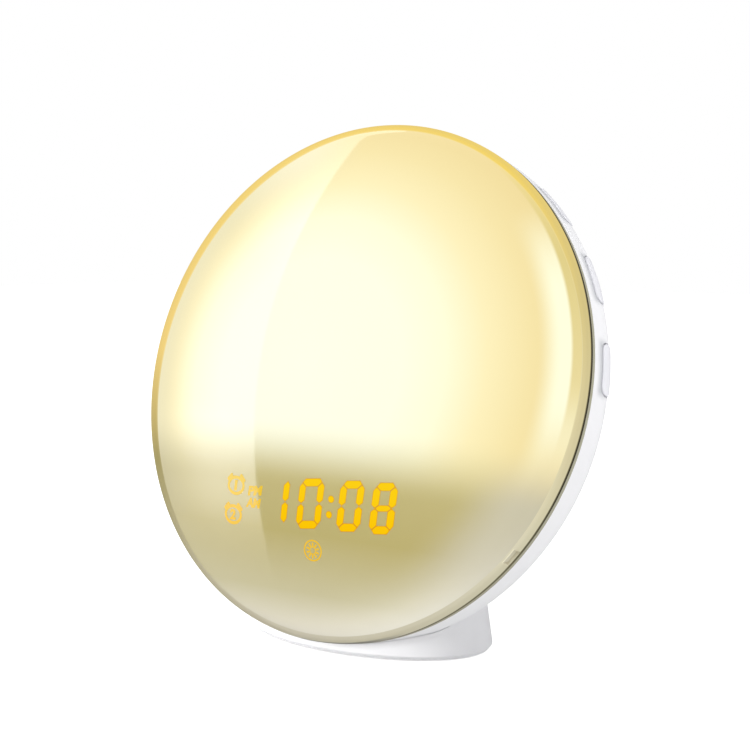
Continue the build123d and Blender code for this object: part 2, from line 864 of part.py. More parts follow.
with BuildPart() as warm_leds:
    with BuildSketch(disc.offset(-led_board_front)):
        with Locations(*led_places(0)):
            Rectangle(warm_led_size, warm_led_size)
    extrude(amount=warm_led_height)
warm_leds.part.label = "warm_leds"
export_step(warm_leds.part, "parts/warm_leds.step")

with BuildPart() as colour_leds:
    with BuildSketch(disc.offset(-led_board_front)):
        with Locations(*led_places(0.5)):
            Rectangle(colour_led_size, colour_led_size)
    extrude(amount=colour_led_height)
colour_leds.part.label = "colour_leds"
export_step(colour_leds.part, "parts/colour_leds.step")

with BuildPart() as led_screws:
    with BuildSketch(disc.offset(-led_board_front)):
        with Locations(*led_screw_places):
            Circle(small_screw_head)
    extrude(amount=small_screw_head_height)
    with BuildSketch(disc.offset(-led_board_front)):
        with Locations(*led_screw_places):
            Circle(small_screw_radius)
    extrude(amount=-led_board_thick - small_screw_grip + pilot_gap)
led_screws.part.label = "led_screws"
export_step(led_screws.part, "parts/led_screws.step")

# The light's room is the reflector's inside, the frame's bore and the dome's inside
with BuildPart() as light_room:
    with BuildSketch(section):
        with BuildLine():
            Polyline(
                (0, -reflector_inner_floor),
                (reflector_floor_radius - reflector_wall, -reflector_inner_floor),
                (reflector_top_radius - reflector_wall, -frame_back),
                (reflector_top_radius - reflector_wall, dome_rise),
                (0, dome_rise),
                close=True,
            )
        make_face()
    revolve(axis=disc_axis)

inside_limit = dome_solid(dome_wall + dome_clearance, -reflector_floor_depth)

with BuildPart() as light_divider:
    with BuildSketch(disc.offset(-reflector_inner_floor)):
        with Locations((0, divider_middle)):
            Rectangle(2 * disc_radius, divider_thick)
    extrude(amount=reflector_floor_depth + dome_rise)
    add(light_room.part, mode=Mode.INTERSECT)
    add(inside_limit, mode=Mode.INTERSECT)
light_divider.part.label = "light_divider"
export_step(light_divider.part, "parts/light_divider.step")

# ---------------------------------------------------------------- display

display_back = display_face - display_module_depth
tray_floor_top = display_back - display_board_thick
tray_bottom = tray_floor_top - tray_wall
tray_rim = display_face - dome_clearance
module_width = display_width - 2 * tray_wall - 2 * fit_gap
module_tall = display_tall - 2 * tray_wall - 2 * fit_gap
tray_leg_places = [
    (side * tray_leg_spread / 2, display_middle[1] + tray_leg_rise) for side in (-1, 1)
]

with BuildPart() as display_tray:
    with BuildSketch(disc.offset(tray_bottom)):
        with Locations(display_middle):
            Rectangle(display_width, display_tall)
    extrude(amount=tray_rim - tray_bottom)
    with BuildSketch(disc.offset(tray_floor_top)):
        with Locations(display_middle):
            Rectangle(display_width - 2 * tray_wall, display_tall - 2 * tray_wall)
    extrude(amount=dome_rise, mode=Mode.SUBTRACT)
    with BuildSketch(disc.offset(-reflector_inner_floor)):
        with Locations(*tray_leg_places):
            Circle(tray_leg_radius)
    extrude(amount=reflector_inner_floor + tray_bottom)
    with BuildSketch(disc.offset(tray_bottom)):
        with Locations(ribbon_place):
            Rectangle(ribbon_width + 2 * ribbon_gap, ribbon_thick + 2 * ribbon_gap)
    extrude(amount=tray_wall, mode=Mode.SUBTRACT)
    add(inside_limit, mode=Mode.INTERSECT)
display_tray.part.label = "display_tray"
export_step(display_tray.part, "parts/display_tray.step")

with BuildPart() as display_board:
    with BuildSketch(disc.offset(tray_floor_top)):
        with Locations(display_middle):
            Rectangle(module_width, module_tall)
    extrude(amount=display_board_thick)
    add(inside_limit, mode=Mode.INTERSECT)
display_board.part.label = "display_board"
export_step(display_board.part, "parts/display_board.step")

with BuildPart() as display_module:
    with BuildSketch(disc.offset(display_back)):
        with Locations(display_middle):
            Rectangle(module_width, module_tall)
    extrude(amount=display_module_depth)
    add(inside_limit, mode=Mode.INTERSECT)
display_module.part.label = "display_module"
export_step(display_module.part, "parts/display_module.step")

# Seven-segment digits for the time 10:08: the segments that are lit, named as usual
segments = {"1": "bc", "0": "abcdef", "8": "abcdefg"}
digit_places = [
    ("1", -1.5 * digit_spacing - colon_space / 2),
    ("0", -0.5 * digit_spacing - colon_space / 2),
    ("0", 0.5 * digit_spacing + colon_space / 2),
    ("8", 1.5 * digit_spacing + colon_space / 2),
]
digit_row_middle = from_display(digit_row_offset)
half_bar = digit_height / 4
bar_length = digit_height / 2 - 2 * digit_stroke
across_length = digit_width - 2 * digit_stroke
side_offset = (digit_width - digit_stroke) / 2
end_offset = (digit_height - digit_stroke) / 2
segment_layout = {
    "a": (0, end_offset, across_length, digit_stroke),
    "b": (side_offset, half_bar, digit_stroke, bar_length),
    "c": (side_offset, -half_bar, digit_stroke, bar_length),
    "d": (0, -end_offset, across_length, digit_stroke),
    "e": (-side_offset, -half_bar, digit_stroke, bar_length),
    "f": (-side_offset, half_bar, digit_stroke, bar_length),
    "g": (0, 0, across_length, digit_stroke),
}

with BuildPart() as display_digits:
    with BuildSketch(disc.offset(display_face)):
        for digit, place in digit_places:
            for segment in segments[digit]:
                x, y, wide, tall = segment_layout[segment]
                with Locations(
                    (digit_row_middle[0] + place + x, digit_row_middle[1] + y)
                ):
                    Rectangle(wide, tall)
        with Locations(digit_row_middle):
            with GridLocations(0, colon_spread, 1, 2):
                Circle(colon_dot_radius)
    extrude(amount=mark_relief)
display_digits.part.label = "display_digits"
export_step(display_digits.part, "parts/display_digits.step")

with BuildPart() as display_icons:
    with BuildSketch(disc.offset(display_face)):
        with Locations(*[from_display(offset) for offset in icon_offsets]):
            Circle(icon_radius)
            Circle(icon_radius - icon_stroke, mode=Mode.SUBTRACT)
        with Locations(*[from_display(offset) for offset in lamp_offsets]):
            Rectangle(*lamp_size)
    extrude(amount=mark_relief)
display_icons.part.label = "display_icons"
export_step(display_icons.part, "parts/display_icons.step")

with BuildPart() as display_ribbon:
    with BuildSketch(disc.offset(board_thick - main_board_depth)):
        with Locations(ribbon_place):
            Rectangle(ribbon_width, ribbon_thick)
    extrude(amount=main_board_depth - board_thick + tray_floor_top)
display_ribbon.part.label = "display_ribbon"
export_step(display_ribbon.part, "parts/display_ribbon.step")

# ---------------------------------------------------------------- control board

board_front = main_board_depth - board_thick

with BuildPart() as main_board:
    with BuildSketch(disc.offset(-main_board_depth)):
        with Locations(main_board_middle):
            Rectangle(main_board_width, main_board_tall)
        with Locations(*board_screw_places):
            Circle(small_screw_radius + fit_gap, mode=Mode.SUBTRACT)
    extrude(amount=board_thick)
main_board.part.label = "main_board"
export_step(main_board.part, "parts/main_board.step")

with BuildPart() as main_chips:
    for x, y, wide, tall, high in chip_layout:
        with BuildSketch(disc.offset(-board_front)):
            with Locations((x, y)):
                Rectangle(wide, tall)
        extrude(amount=high)
main_chips.part.label = "main_chips"
export_step(main_chips.part, "parts/main_chips.step")

with BuildPart() as capacitors:
    with BuildSketch(disc.offset(-board_front)):
        with Locations(*capacitor_places):
            Circle(capacitor_radius)
    extrude(amount=capacitor_height)
capacitors.part.label = "capacitors"
export_step(capacitors.part, "parts/capacitors.step")

with BuildPart() as board_screws:
    for front, thick, places in (
        (board_front, board_thick, board_screw_places),
        (key_board_front, key_board_thick, key_screw_places),
        (inlet_board_back - board_thick, board_thick, inlet_screw_places),
    ):
        with BuildSketch(disc.offset(-front)):
            with Locations(*places):
                Circle(small_screw_head)
        extrude(amount=small_screw_head_height)
        with BuildSketch(disc.offset(-front)):
            with Locations(*places):
                Circle(small_screw_radius)
        extrude(amount=-thick - small_screw_grip + pilot_gap)
board_screws.part.label = "board_screws"
export_step(board_screws.part, "parts/board_screws.step")

with BuildPart() as led_leads:
    with BuildSketch(disc.offset(-board_front)):
        with GridLocations(led_lead_spread, 0, 2, 1):
            Circle(wire_radius)
    extrude(amount=board_front - reflector_inner_floor)
led_leads.part.label = "led_leads"
export_step(led_leads.part, "parts/led_leads.step")

# ---------------------------------------------------------------- power inlet

with BuildPart() as inlet_board:
    with BuildSketch(disc.offset(-inlet_board_back)):
        with Locations(inlet_place):
            Rectangle(inlet_board_width, inlet_board_tall)
        with Locations(*inlet_screw_places):
            Circle(small_screw_radius + fit_gap, mode=Mode.SUBTRACT)
    extrude(amount=board_thick)
inlet_board.part.label = "inlet_board"
export_step(inlet_board.part, "parts/inlet_board.step")

with BuildPart() as inlet_shell:
    with BuildSketch(disc.offset(-back_depth + fit_gap)):
        with Locations(inlet_place):
            SlotOverall(inlet_width, inlet_height)
            SlotOverall(
                inlet_width - 2 * inlet_wall,
                inlet_height - 2 * inlet_wall,
                mode=Mode.SUBTRACT,
            )
    extrude(amount=inlet_length - fit_gap)
inlet_shell.part.label = "inlet_shell"
export_step(inlet_shell.part, "parts/inlet_shell.step")

with BuildPart() as inlet_tongue:
    with BuildSketch(disc.offset(-inlet_board_back)):
        with Locations(inlet_place):
            Rectangle(inlet_width - 2 * tongue_margin, tongue_thick)
    extrude(amount=tongue_short - inlet_length)
inlet_tongue.part.label = "inlet_tongue"
export_step(inlet_tongue.part, "parts/inlet_tongue.step")

# ---------------------------------------------------------------- speaker

speaker_axis = Axis(disc.from_local_coords(Vector(*speaker_place, 0)), facing)
speaker_section = Plane(
    origin=disc.from_local_coords(Vector(*speaker_place, 0)),
    x_dir=disc.y_dir,
    z_dir=(1, 0, 0),
)
flange_top = inner_back - speaker_flange_thick
basket_top = inner_back - speaker_basket_depth

with BuildPart() as speaker_basket:
    with BuildSketch(speaker_section):
        with BuildLine():
            Polyline(
                (speaker_bore, -inner_back),
                (speaker_radius, -inner_back),
                (speaker_radius, -flange_top),
                (speaker_bore + basket_wall, -flange_top),
                (magnet_radius + basket_wall, -basket_top),
                (0, -basket_top),
                (0, -basket_top - basket_wall),
                (magnet_radius, -basket_top - basket_wall),
                (speaker_bore, -flange_top),
                close=True,
            )
        make_face()
    revolve(axis=speaker_axis)
    with BuildSketch(disc.offset(-inner_back)):
        with Locations(*speaker_screw_places):
            Circle(small_screw_radius + fit_gap)
    extrude(amount=speaker_flange_thick, mode=Mode.SUBTRACT)
speaker_basket.part.label = "speaker_basket"
export_step(speaker_basket.part, "parts/speaker_basket.step")

with BuildPart() as speaker_magnet:
    with BuildSketch(disc.offset(-basket_top)):
        with Locations(speaker_place):
            Circle(magnet_radius)
    extrude(amount=magnet_height)
    chamfer(speaker_magnet.edges().filter_by(GeomType.CIRCLE), magnet_chamfer)
speaker_magnet.part.label = "speaker_magnet"
export_step(speaker_magnet.part, "parts/speaker_magnet.step")

cone_rim = speaker_bore - fit_gap
cone_front = inner_back - cone_setback
cone_neck = basket_top + cone_neck_gap

with BuildPart() as speaker_cone:
    with BuildSketch(speaker_section):
        with BuildLine():
            Polyline(
                (cone_rim, -cone_front),
                (cone_rim, -cone_front + cone_thick),
                (magnet_radius / 2, -cone_neck + cone_thick),
                (0, -cone_neck + cone_thick),
                (0, -cone_neck),
                (magnet_radius / 2, -cone_neck),
                (cone_rim - cone_lip, -cone_front),
                close=True,
            )
        make_face()
    revolve(axis=speaker_axis)
speaker_cone.part.label = "speaker_cone"
export_step(speaker_cone.part, "parts/speaker_cone.step")

with BuildPart() as speaker_screws:
    with BuildSketch(disc.offset(-flange_top)):
        with Locations(*speaker_screw_places):
            Circle(small_screw_head - fit_gap)
    extrude(amount=small_screw_head_height)
    with BuildSketch(disc.offset(-flange_top)):
        with Locations(*speaker_screw_places):
            Circle(small_screw_radius)
    extrude(amount=-speaker_flange_thick - speaker_screw_grip + pilot_gap)
speaker_screws.part.label = "speaker_screws"
export_step(speaker_screws.part, "parts/speaker_screws.step")

speaker_lead_places = [
    (
        speaker_place[0] + side * (speaker_radius - speaker_lead_inset),
        speaker_place[1] - speaker_lead_drop,
    )
    for side in (-1, 1)
]

with BuildPart() as speaker_leads:
    with BuildSketch(disc.offset(-flange_top)):
        with Locations(*speaker_lead_places):
            Circle(wire_radius)
    extrude(amount=flange_top - main_board_depth)
speaker_leads.part.label = "speaker_leads"
export_step(speaker_leads.part, "parts/speaker_leads.step")

# ---------------------------------------------------------------- back-up cell

holder_floor_face = inner_back - cell_pocket_depth
holder_top = holder_floor_face - cell_holder_floor

with BuildPart() as cell_holder:
    with BuildSketch(disc.offset(-inner_back)):
        with Locations(cell_place):
            Rectangle(cell_holder_size, cell_holder_size)
            Circle(cell_radius + cell_gap, mode=Mode.SUBTRACT)
    extrude(amount=cell_pocket_depth)
    with BuildSketch(disc.offset(-holder_floor_face)):
        with Locations(cell_place):
            Rectangle(cell_holder_size, cell_holder_size)
    extrude(amount=cell_holder_floor)
cell_holder.part.label = "cell_holder"
export_step(cell_holder.part, "parts/cell_holder.step")

with BuildPart() as cell_contacts:
    with BuildSketch(disc.offset(-holder_floor_face)):
        with Locations(cell_place):
            with GridLocations(cell_contact_spread, 0, 2, 1):
                Rectangle(*cell_contact_size)
    extrude(amount=-cell_contact_thick)
cell_contacts.part.label = "cell_contacts"
export_step(cell_contacts.part, "parts/cell_contacts.step")

with BuildPart() as coin_cell:
    with BuildSketch(disc.offset(-holder_floor_face - cell_contact_thick)):
        with Locations(cell_place):
            Circle(cell_radius)
    extrude(amount=-cell_thick)
    chamfer(coin_cell.edges().filter_by(GeomType.CIRCLE), cell_gap)
coin_cell.part.label = "coin_cell"
export_step(coin_cell.part, "parts/coin_cell.step")

plug_size = door_size - 2 * door_ledge - 2 * door_gap
nail_slot_place = (
    cell_place[0],
    cell_place[1] + door_size / 2 - nail_slot_inset,
)

with BuildPart() as battery_door:
    with BuildSketch(disc.offset(-back_depth)):
        with Locations(cell_place):
            Rectangle(door_size, door_size)
    extrude(amount=door_plate)
    with BuildSketch(disc.offset(-back_depth + door_plate)):
        with Locations(cell_place):
            Rectangle(plug_size, plug_size)
    extrude(amount=housing_wall - door_plate)
    with BuildSketch(disc.offset(-back_depth)):
        with Locations(nail_slot_place):
            SlotOverall(*nail_slot_size)
    extrude(amount=door_plate / 2, mode=Mode.SUBTRACT)
battery_door.part.label = "battery_door"
export_step(battery_door.part, "parts/battery_door.step")
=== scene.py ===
# %% [markdown]
# # A sunrise alarm clock
#
# A round lamp that wakes its owner with light. A thin polycarbonate dome glows in front of
# a reflector, a clock shows through the unlit lower part of the dome, and a white ABS bowl
# closes the back. Three buttons sit in each side of the bowl and one on top, and the disc
# leans back on an oval foot. Every piece is already modelled at its real size, in metres,
# so this lesson gives those pieces their surfaces and makes the few that need a finer mesh.

# %% Load the model
import json
import math

import bmesh
import bpy
from mathutils import Matrix, Vector


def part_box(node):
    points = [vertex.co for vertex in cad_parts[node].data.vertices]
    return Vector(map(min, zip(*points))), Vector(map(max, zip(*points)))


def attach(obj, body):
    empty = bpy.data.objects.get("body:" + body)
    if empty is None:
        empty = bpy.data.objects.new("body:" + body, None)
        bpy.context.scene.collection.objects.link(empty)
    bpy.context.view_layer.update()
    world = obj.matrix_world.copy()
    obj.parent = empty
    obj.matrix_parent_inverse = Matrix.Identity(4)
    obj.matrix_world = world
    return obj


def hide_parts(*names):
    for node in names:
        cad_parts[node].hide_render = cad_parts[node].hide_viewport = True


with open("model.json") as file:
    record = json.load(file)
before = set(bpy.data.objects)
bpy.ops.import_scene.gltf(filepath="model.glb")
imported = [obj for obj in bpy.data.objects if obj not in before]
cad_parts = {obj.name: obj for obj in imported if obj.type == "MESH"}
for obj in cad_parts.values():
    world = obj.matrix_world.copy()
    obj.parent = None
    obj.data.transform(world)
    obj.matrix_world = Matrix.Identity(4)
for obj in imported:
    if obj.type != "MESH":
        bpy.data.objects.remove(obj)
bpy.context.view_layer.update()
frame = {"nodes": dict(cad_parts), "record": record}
MM = 0.001

# %% [markdown]
# ## Where the disc is
#
# Most of the clock is turned about one axis, which leans back with the disc. It pays to
# work in that disc's own directions: across, up the disc, and out of its face. The seal
# is a flat ring just behind the rim plane, so its box gives the disc's middle: the box is
# as wide as the ring, and what it is deeper than a thin leaning ring is its thickness.

# %% The disc's own directions
LEAN = math.radians(15)

across = Vector((1, 0, 0))
up_disc = Vector((0, math.sin(LEAN), math.cos(LEAN)))
facing = Vector((0, -math.cos(LEAN), math.sin(LEAN)))
seal_low, seal_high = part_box("dome_gasket")
seal_size = seal_high - seal_low
seal_thick = (seal_size.y - seal_size.x * math.sin(LEAN)) / math.cos(LEAN)
disc_middle = (seal_low + seal_high) / 2 + facing * seal_thick / 2
dome_low, dome_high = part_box("dome")
DISC_RADIUS = (dome_high.x - dome_low.x) / 2 / MM
disc_turn = Matrix((across, up_disc, facing)).transposed()
disc_place = Matrix.Translation(disc_middle) @ disc_turn.to_4x4() @ Matrix.Scale(MM, 4)
print("seal %.2f mm thick" % (seal_thick / MM))
print("disc radius %.1f mm, middle at" % DISC_RADIUS, [round(c / MM, 2) for c in disc_middle])

# %% [markdown]
# ## The camera
#
# A longish lens from the right front, a little above the table. The picture's middle is
# shifted rather than the camera turned, which keeps the horizon level and the framing
# exact. The way to the camera is given by two angles, and so are the lamps later.

# %% Camera
VIEW_AZIMUTH = 36.5
VIEW_ELEVATION = 6.02
VIEW_DISTANCE = 0.48
TARGET_BELOW_MIDDLE = 5.4 * MM
LENS = 70.82
SENSOR_WIDTH = 36
SHIFT_ACROSS = 0.0283
SHIFT_UP = 0.0275
NEAREST_SEEN = 0.01


def direction(azimuth, elevation):
    """The way to a place given in degrees. Azimuth 0 is in front of the clock, 90 at its right."""
    turn, rise = math.radians(azimuth), math.radians(elevation)
    return Vector(
        (math.sin(turn) * math.cos(rise), -math.cos(turn) * math.cos(rise), math.sin(rise))
    )


camera = bpy.data.objects.new("camera", bpy.data.cameras.new("camera"))
bpy.context.scene.collection.objects.link(camera)
towards_camera = direction(VIEW_AZIMUTH, VIEW_ELEVATION)
target = disc_middle - Vector((0, 0, TARGET_BELOW_MIDDLE))
camera.location = target + towards_camera * VIEW_DISTANCE
camera.rotation_euler = towards_camera.to_track_quat("Z", "Y").to_euler()
camera.data.sensor_width = SENSOR_WIDTH
camera.data.lens = LENS
camera.data.shift_x = SHIFT_ACROSS
camera.data.shift_y = SHIFT_UP
camera.data.clip_start = NEAREST_SEEN
bpy.context.scene.camera = camera
bpy.context.scene.view_settings.view_transform = "Standard"
print("camera at", [round(c, 3) for c in camera.location])

# %% [markdown]
# ## Colours and nodes
#
# Colours are written as they look on a screen, in hex, and turned to linear light once.
# A shader is a small graph of nodes. One function adds any node: its options come first,
# because they decide which sockets are in use, and those are then filled in order, each
# with a number, a colour, another node, or one output of another node.

# %% Colour, node and material


def linear(code):
    """A hex colour such as F1F2F5 as linear red, green, blue and alpha."""
    parts = [int(code[i : i + 2], 16) / 255 for i in (0, 2, 4)]
    return [p / 12.92 if p <= 0.04045 else ((p + 0.055) / 1.055) ** 2.4 for p in parts] + [1]


def fill_sockets(node, values):
    """Sets sockets, given by name or number, or links them to a node or to an output."""
    for key, value in values.items():
        if isinstance(value, bpy.types.Node):
            value = next(output for output in value.outputs if output.enabled)
        if isinstance(value, bpy.types.NodeSocket):
            node.id_data.links.new(value, node.inputs[key])
        else:
            node.inputs[key].default_value = value


def add_node(tree, kind, *values, sockets=None, stops=(), **options):
    """Adds one shader node, with its sockets in order or by name, and a ramp's stops."""
    made = tree.nodes.new("ShaderNode" + kind)
    for option, value in options.items():
        setattr(made, option, value)
    in_use = [number for number, socket in enumerate(made.inputs) if socket.enabled]
    fill_sockets(made, dict(zip(in_use, values)) | (sockets or {}))
    if stops:
        elements = made.color_ramp.elements
        while len(elements) < len(stops):
            elements.new(0.5)
        for element, (place, code) in zip(elements, stops):
            element.position = place
            element.color = linear(code)
    return made


def new_material(name, **values):
    """A Principled material, its tree and its shader. Roughness=0.5 sets that socket."""
    material = bpy.data.materials.new(name)
    material.use_nodes = True
    shader = material.node_tree.nodes["Principled BSDF"]
    fill_sockets(shader, {socket.replace("_", " "): value for socket, value in values.items()})
    return material, material.node_tree, shader


print("screen grey 808080 is %.3f in linear light" % linear("808080")[0])

# %% [markdown]
# ## Painting with soft edges
#
# Light inside plastic has no hard borders. Its paint is laid on in patches, and each edge
# of a patch is a value, such as a height, with the place where the patch is not there yet
# and the place where it is whole. Where a colour changes steadily along a value, a few
# colours stand at their own places, and the ramp runs from one to the next.

# %% Patches and runs of colour


def patch(tree, strength, *edges):
    """A share that fades in at each edge, up to a strength."""
    for value, start, end in edges:
        soft = add_node(tree, "MapRange", value, start, end, interpolation_type="SMOOTHSTEP")
        strength = add_node(tree, "Math", strength, soft, operation="MULTIPLY")
    return strength


def paint_over(tree, under, over, strength, *edges):
    """Lays a colour, or the colour that a node gives, over another inside a patch."""
    over = linear(over) if isinstance(over, str) else over
    return add_node(tree, "Mix", patch(tree, strength, *edges), under, over, data_type="RGBA")


def colours_along(tree, value, stops):
    """A run of colours, each at its own place along a value."""
    start, end = stops[0][0], stops[-1][0]
    share = add_node(tree, "MapRange", value, start, end)
    spread = [((place - start) / (end - start), code) for place, code in stops]
    return add_node(tree, "ValToRGB", share, stops=spread)


trial, tree, shader = new_material("trial")
plain_count = len(tree.nodes)
patch(tree, 1.0, (0.5, 0, 1), (0.5, 1, 0))
print("a patch with two edges adds", len(tree.nodes) - plain_count, "nodes")
bpy.data.materials.remove(trial)

# %% [markdown]
# ## A white studio
#
# The clock stands on white paper in a white room. The background is white because camera
# rays see a white world, not because more light falls on the clock. In its reflections the
# room has a grey card behind the clock, which keeps the far edges of the dome from
# vanishing into white.

# %% World and floor
SKY_LEVEL = 0.65
CARD_EDGE = (0.5, 0.9)
CARD_DEPTH = 0.75
FLOOR_SIZE = 6.0
FLOOR_LIFT = 0.62


def studio_world():
    """White to the eye, a little less in the light that it gives."""
    world = bpy.data.worlds.new("studio")
    world.use_nodes = True
    tree = world.node_tree
    ray = add_node(tree, "LightPath").outputs
    way = add_node(tree, "TexCoord").outputs["Generated"]
    behind = add_node(tree, "VectorMath", way, -towards_camera, operation="DOT_PRODUCT")
    card = patch(tree, CARD_DEPTH, (behind, *CARD_EDGE))
    mirrored = add_node(tree, "Math", 1.0, card, operation="SUBTRACT")
    level = add_node(tree, "MapRange", ray["Is Glossy Ray"], 0, 1, SKY_LEVEL, mirrored)
    seen = add_node(
        tree, "Math", ray["Is Camera Ray"], ray["Is Transmission Ray"], operation="MAXIMUM"
    )
    level = add_node(tree, "MapRange", seen, 0, 1, level, 1.0)
    fill_sockets(tree.nodes["Background"], {"Color": linear("FFFFFF"), "Strength": level})
    bpy.context.scene.world = world


def studio_floor():
    """White paper. What the camera sees of it is lifted to white, and the shadow stays."""
    mesh = bpy.data.meshes.new("floor")
    bm = bmesh.new()
    bmesh.ops.create_grid(bm, x_segments=1, y_segments=1, size=FLOOR_SIZE / 2)
    bm.to_mesh(mesh)
    bm.free()
    floor = bpy.data.objects.new("floor", mesh)
    bpy.context.scene.collection.objects.link(floor)
    material, tree, shader = new_material(
        "white_paper_floor", Roughness=0.9, Specular_IOR_Level=0.0
    )
    seen = add_node(tree, "LightPath").outputs["Is Camera Ray"]
    lift = add_node(tree, "Math", seen, FLOOR_LIFT, operation="MULTIPLY")
    fill_sockets(shader, {"Base Color": linear("F2F2F2"), "Emission Color": linear("FFFFFF")})
    fill_sockets(shader, {"Emission Strength": lift})
    mesh.materials.append(material)
    floor.visible_glossy = False


studio_world()
studio_floor()
print("floor %.0f m wide" % FLOOR_SIZE)

# %% [markdown]
# ## The softbox
#
# A tall oval softbox leans at the left, and its edge draws the bright, sharp-sided shape
# across the dome. It shows in reflections only, because other lamps give the light. A real
# softbox is not even: this one is brightest in a band at table height and again at its
# top, and it fades to its far side. Its levels are set by where a point of it is, seen
# from the disc's middle, in degrees.

# %% Softbox
SOFTBOX_DISTANCE = 3.0
SOFTBOX_SIZE = (2.358, 9.1)
SOFTBOX_ROLL = 23.2
EVEN_LEVEL = 1.2
EVEN_FROM = (-21, -7)
BAND_LEVEL = 2.3
BAND_FROM = (-15, -4)
BAND_TO = (8, -3)
TOP_LEVEL = 1.5
TOP_FROM = (26, 44)
SIDE_FROM = (-84, -56)


def panel_lamp(name, azimuth, elevation, distance, size, radiance, roll=0, shape="RECTANGLE"):
    """A lamp that faces the disc's middle. Radiance 1 is as bright as white paper."""
    lamp = bpy.data.objects.new(name, bpy.data.lights.new(name, "AREA"))
    bpy.context.scene.collection.objects.link(lamp)
    outward = direction(azimuth, elevation)
    lamp.location = disc_middle + outward * distance
    rolled = Matrix.Rotation(math.radians(roll), 3, "Z")
    lamp.rotation_euler = (outward.to_track_quat("Z", "Y").to_matrix() @ rolled).to_euler()
    lamp.data.shape = shape
    lamp.data.size, lamp.data.size_y = size
    lamp.data.energy = radiance * math.pi * size[0] * size[1]
    return lamp


def grade_softbox(lamp):
    """Gives the softbox its band, its bright top and its dim far side."""
    lamp.data.use_nodes = True
    tree = lamp.data.node_tree
    place = add_node(tree, "NewGeometry").outputs["Position"]
    way = add_node(tree, "VectorMath", place, disc_middle, operation="SUBTRACT")
    way = add_node(tree, "VectorMath", way, operation="NORMALIZE")
    parts = add_node(tree, "SeparateXYZ", way).outputs
    rise = add_node(tree, "Math", parts["Z"], operation="ARCSINE")
    rise = add_node(tree, "Math", rise, operation="DEGREES")
    forward = add_node(tree, "Math", parts["Y"], -1, operation="MULTIPLY")
    side = add_node(tree, "Math", parts["X"], forward, operation="ARCTAN2")
    side = add_node(tree, "Math", side, operation="DEGREES")
    even = patch(tree, EVEN_LEVEL, (rise, *EVEN_FROM))
    band = patch(tree, BAND_LEVEL, (rise, *BAND_FROM), (rise, *BAND_TO))
    level = add_node(tree, "Math", even, band, operation="ADD")
    level = patch(tree, level, (side, *SIDE_FROM))
    top = patch(tree, TOP_LEVEL, (rise, *TOP_FROM))
    level = add_node(tree, "Math", level, top, operation="ADD")
    fill_sockets(tree.nodes["Emission"], {"Strength": level})


softbox = panel_lamp(
    "softbox_left", -75, 10, SOFTBOX_DISTANCE, SOFTBOX_SIZE, 1.0, SOFTBOX_ROLL, "ELLIPSE"
)
softbox.visible_diffuse = False
grade_softbox(softbox)
print("softbox energy %.0f W" % softbox.data.energy)

# %% [markdown]
# ## The lamps that light the clock
#
# Four lamps give the light and are kept out of the reflections. A product studio also
# lights the foot by itself, with cards that keep the other lamps off it. Here light
# linking does that: one lamp reaches the foot alone, is shaded only by the foot and the
# housing, and three of the others leave the foot out.

# %% Lamps
LAMP_DISTANCE = 2.0
LAMP_SIZE = (1.3, 1.3)
FOOT_LAMP_DISTANCE = 1.6
FOOT_LAMP_SIZE = (1.2, 0.5)


def pieces_of(name, nodes):
    """A collection of some of the clock's pieces, for a lamp to work on."""
    pieces = bpy.data.collections.new(name)
    for node in nodes:
        pieces.objects.link(frame["nodes"][node])
    return pieces


lamps = {}
for name, azimuth, elevation, radiance in (
    ("fill_left", -60, 35, 1.6),
    ("key_right", 35, 40, 2.2),
    ("fill_right", 95, 12, 0.45),
    ("rim_right", 138, 8, 2.1),
):
    lamps[name] = panel_lamp(name, azimuth, elevation, LAMP_DISTANCE, LAMP_SIZE, radiance)
    lamps[name].visible_glossy = False
foot_light = panel_lamp("foot_light", -38, 12, FOOT_LAMP_DISTANCE, FOOT_LAMP_SIZE, 14.0)
foot_light.visible_glossy = False
linking = foot_light.light_linking
linking.receiver_collection = pieces_of("lit_by_foot_light", ["foot"])
linking.blocker_collection = pieces_of("shade_foot_light", ["foot", "rear_housing"])
for name in ("key_right", "fill_right", "rim_right"):
    left_out = pieces_of("shaded_from_" + name, ["foot"])
    left_out.collection_objects[0].light_linking.link_state = "EXCLUDE"
    lamps[name].light_linking.receiver_collection = left_out

# %% [markdown]
# ## Coordinates that lean with the disc
#
# Object coordinates are in metres in the clock's upright frame. A Mapping node set to
# Texture moves and turns them into the disc's own millimetres, so that one can paint by
# the distance from the middle or the angle round the rim, as the light inside does.


# %% Disc coordinates for shaders
def disc_coordinates(tree):
    """Across, up and out of the disc in mm, with the radius and the turn round the rim.

    The turn is 0 at the bottom, a quarter at the left, a half at the top and so on.
    """
    place = add_node(tree, "TexCoord").outputs["Object"]
    local = add_node(
        tree,
        "Mapping",
        place,
        disc_middle,
        disc_turn.to_euler(),
        (MM, MM, MM),
        vector_type="TEXTURE",
    )
    parts = add_node(tree, "SeparateXYZ", local).outputs
    flat = add_node(tree, "VectorMath", local, (1, 1, 0), operation="MULTIPLY")
    angle = add_node(tree, "Math", parts["X"], parts["Y"], operation="ARCTAN2")
    return {
        "flat": flat,
        "across": parts["X"],
        "up": parts["Y"],
        "out": parts["Z"],
        "radius": add_node(tree, "VectorMath", flat, operation="LENGTH"),
        "turn": add_node(tree, "MapRange", angle, -math.pi, math.pi),
    }


print("disc coordinates turn by", [round(math.degrees(a), 1) for a in disc_turn.to_euler()])

# %% [markdown]
# ## The dome
#
# The real dome is one thin polycarbonate moulding: a shallow cap, a tight rounding at the
# rim and a ring behind it that plugs into the frame. It is turned here from one outline
# with a full spin. The reflections in it are sharp, so it has many more steps than the
# loose triangles of a CAD export.

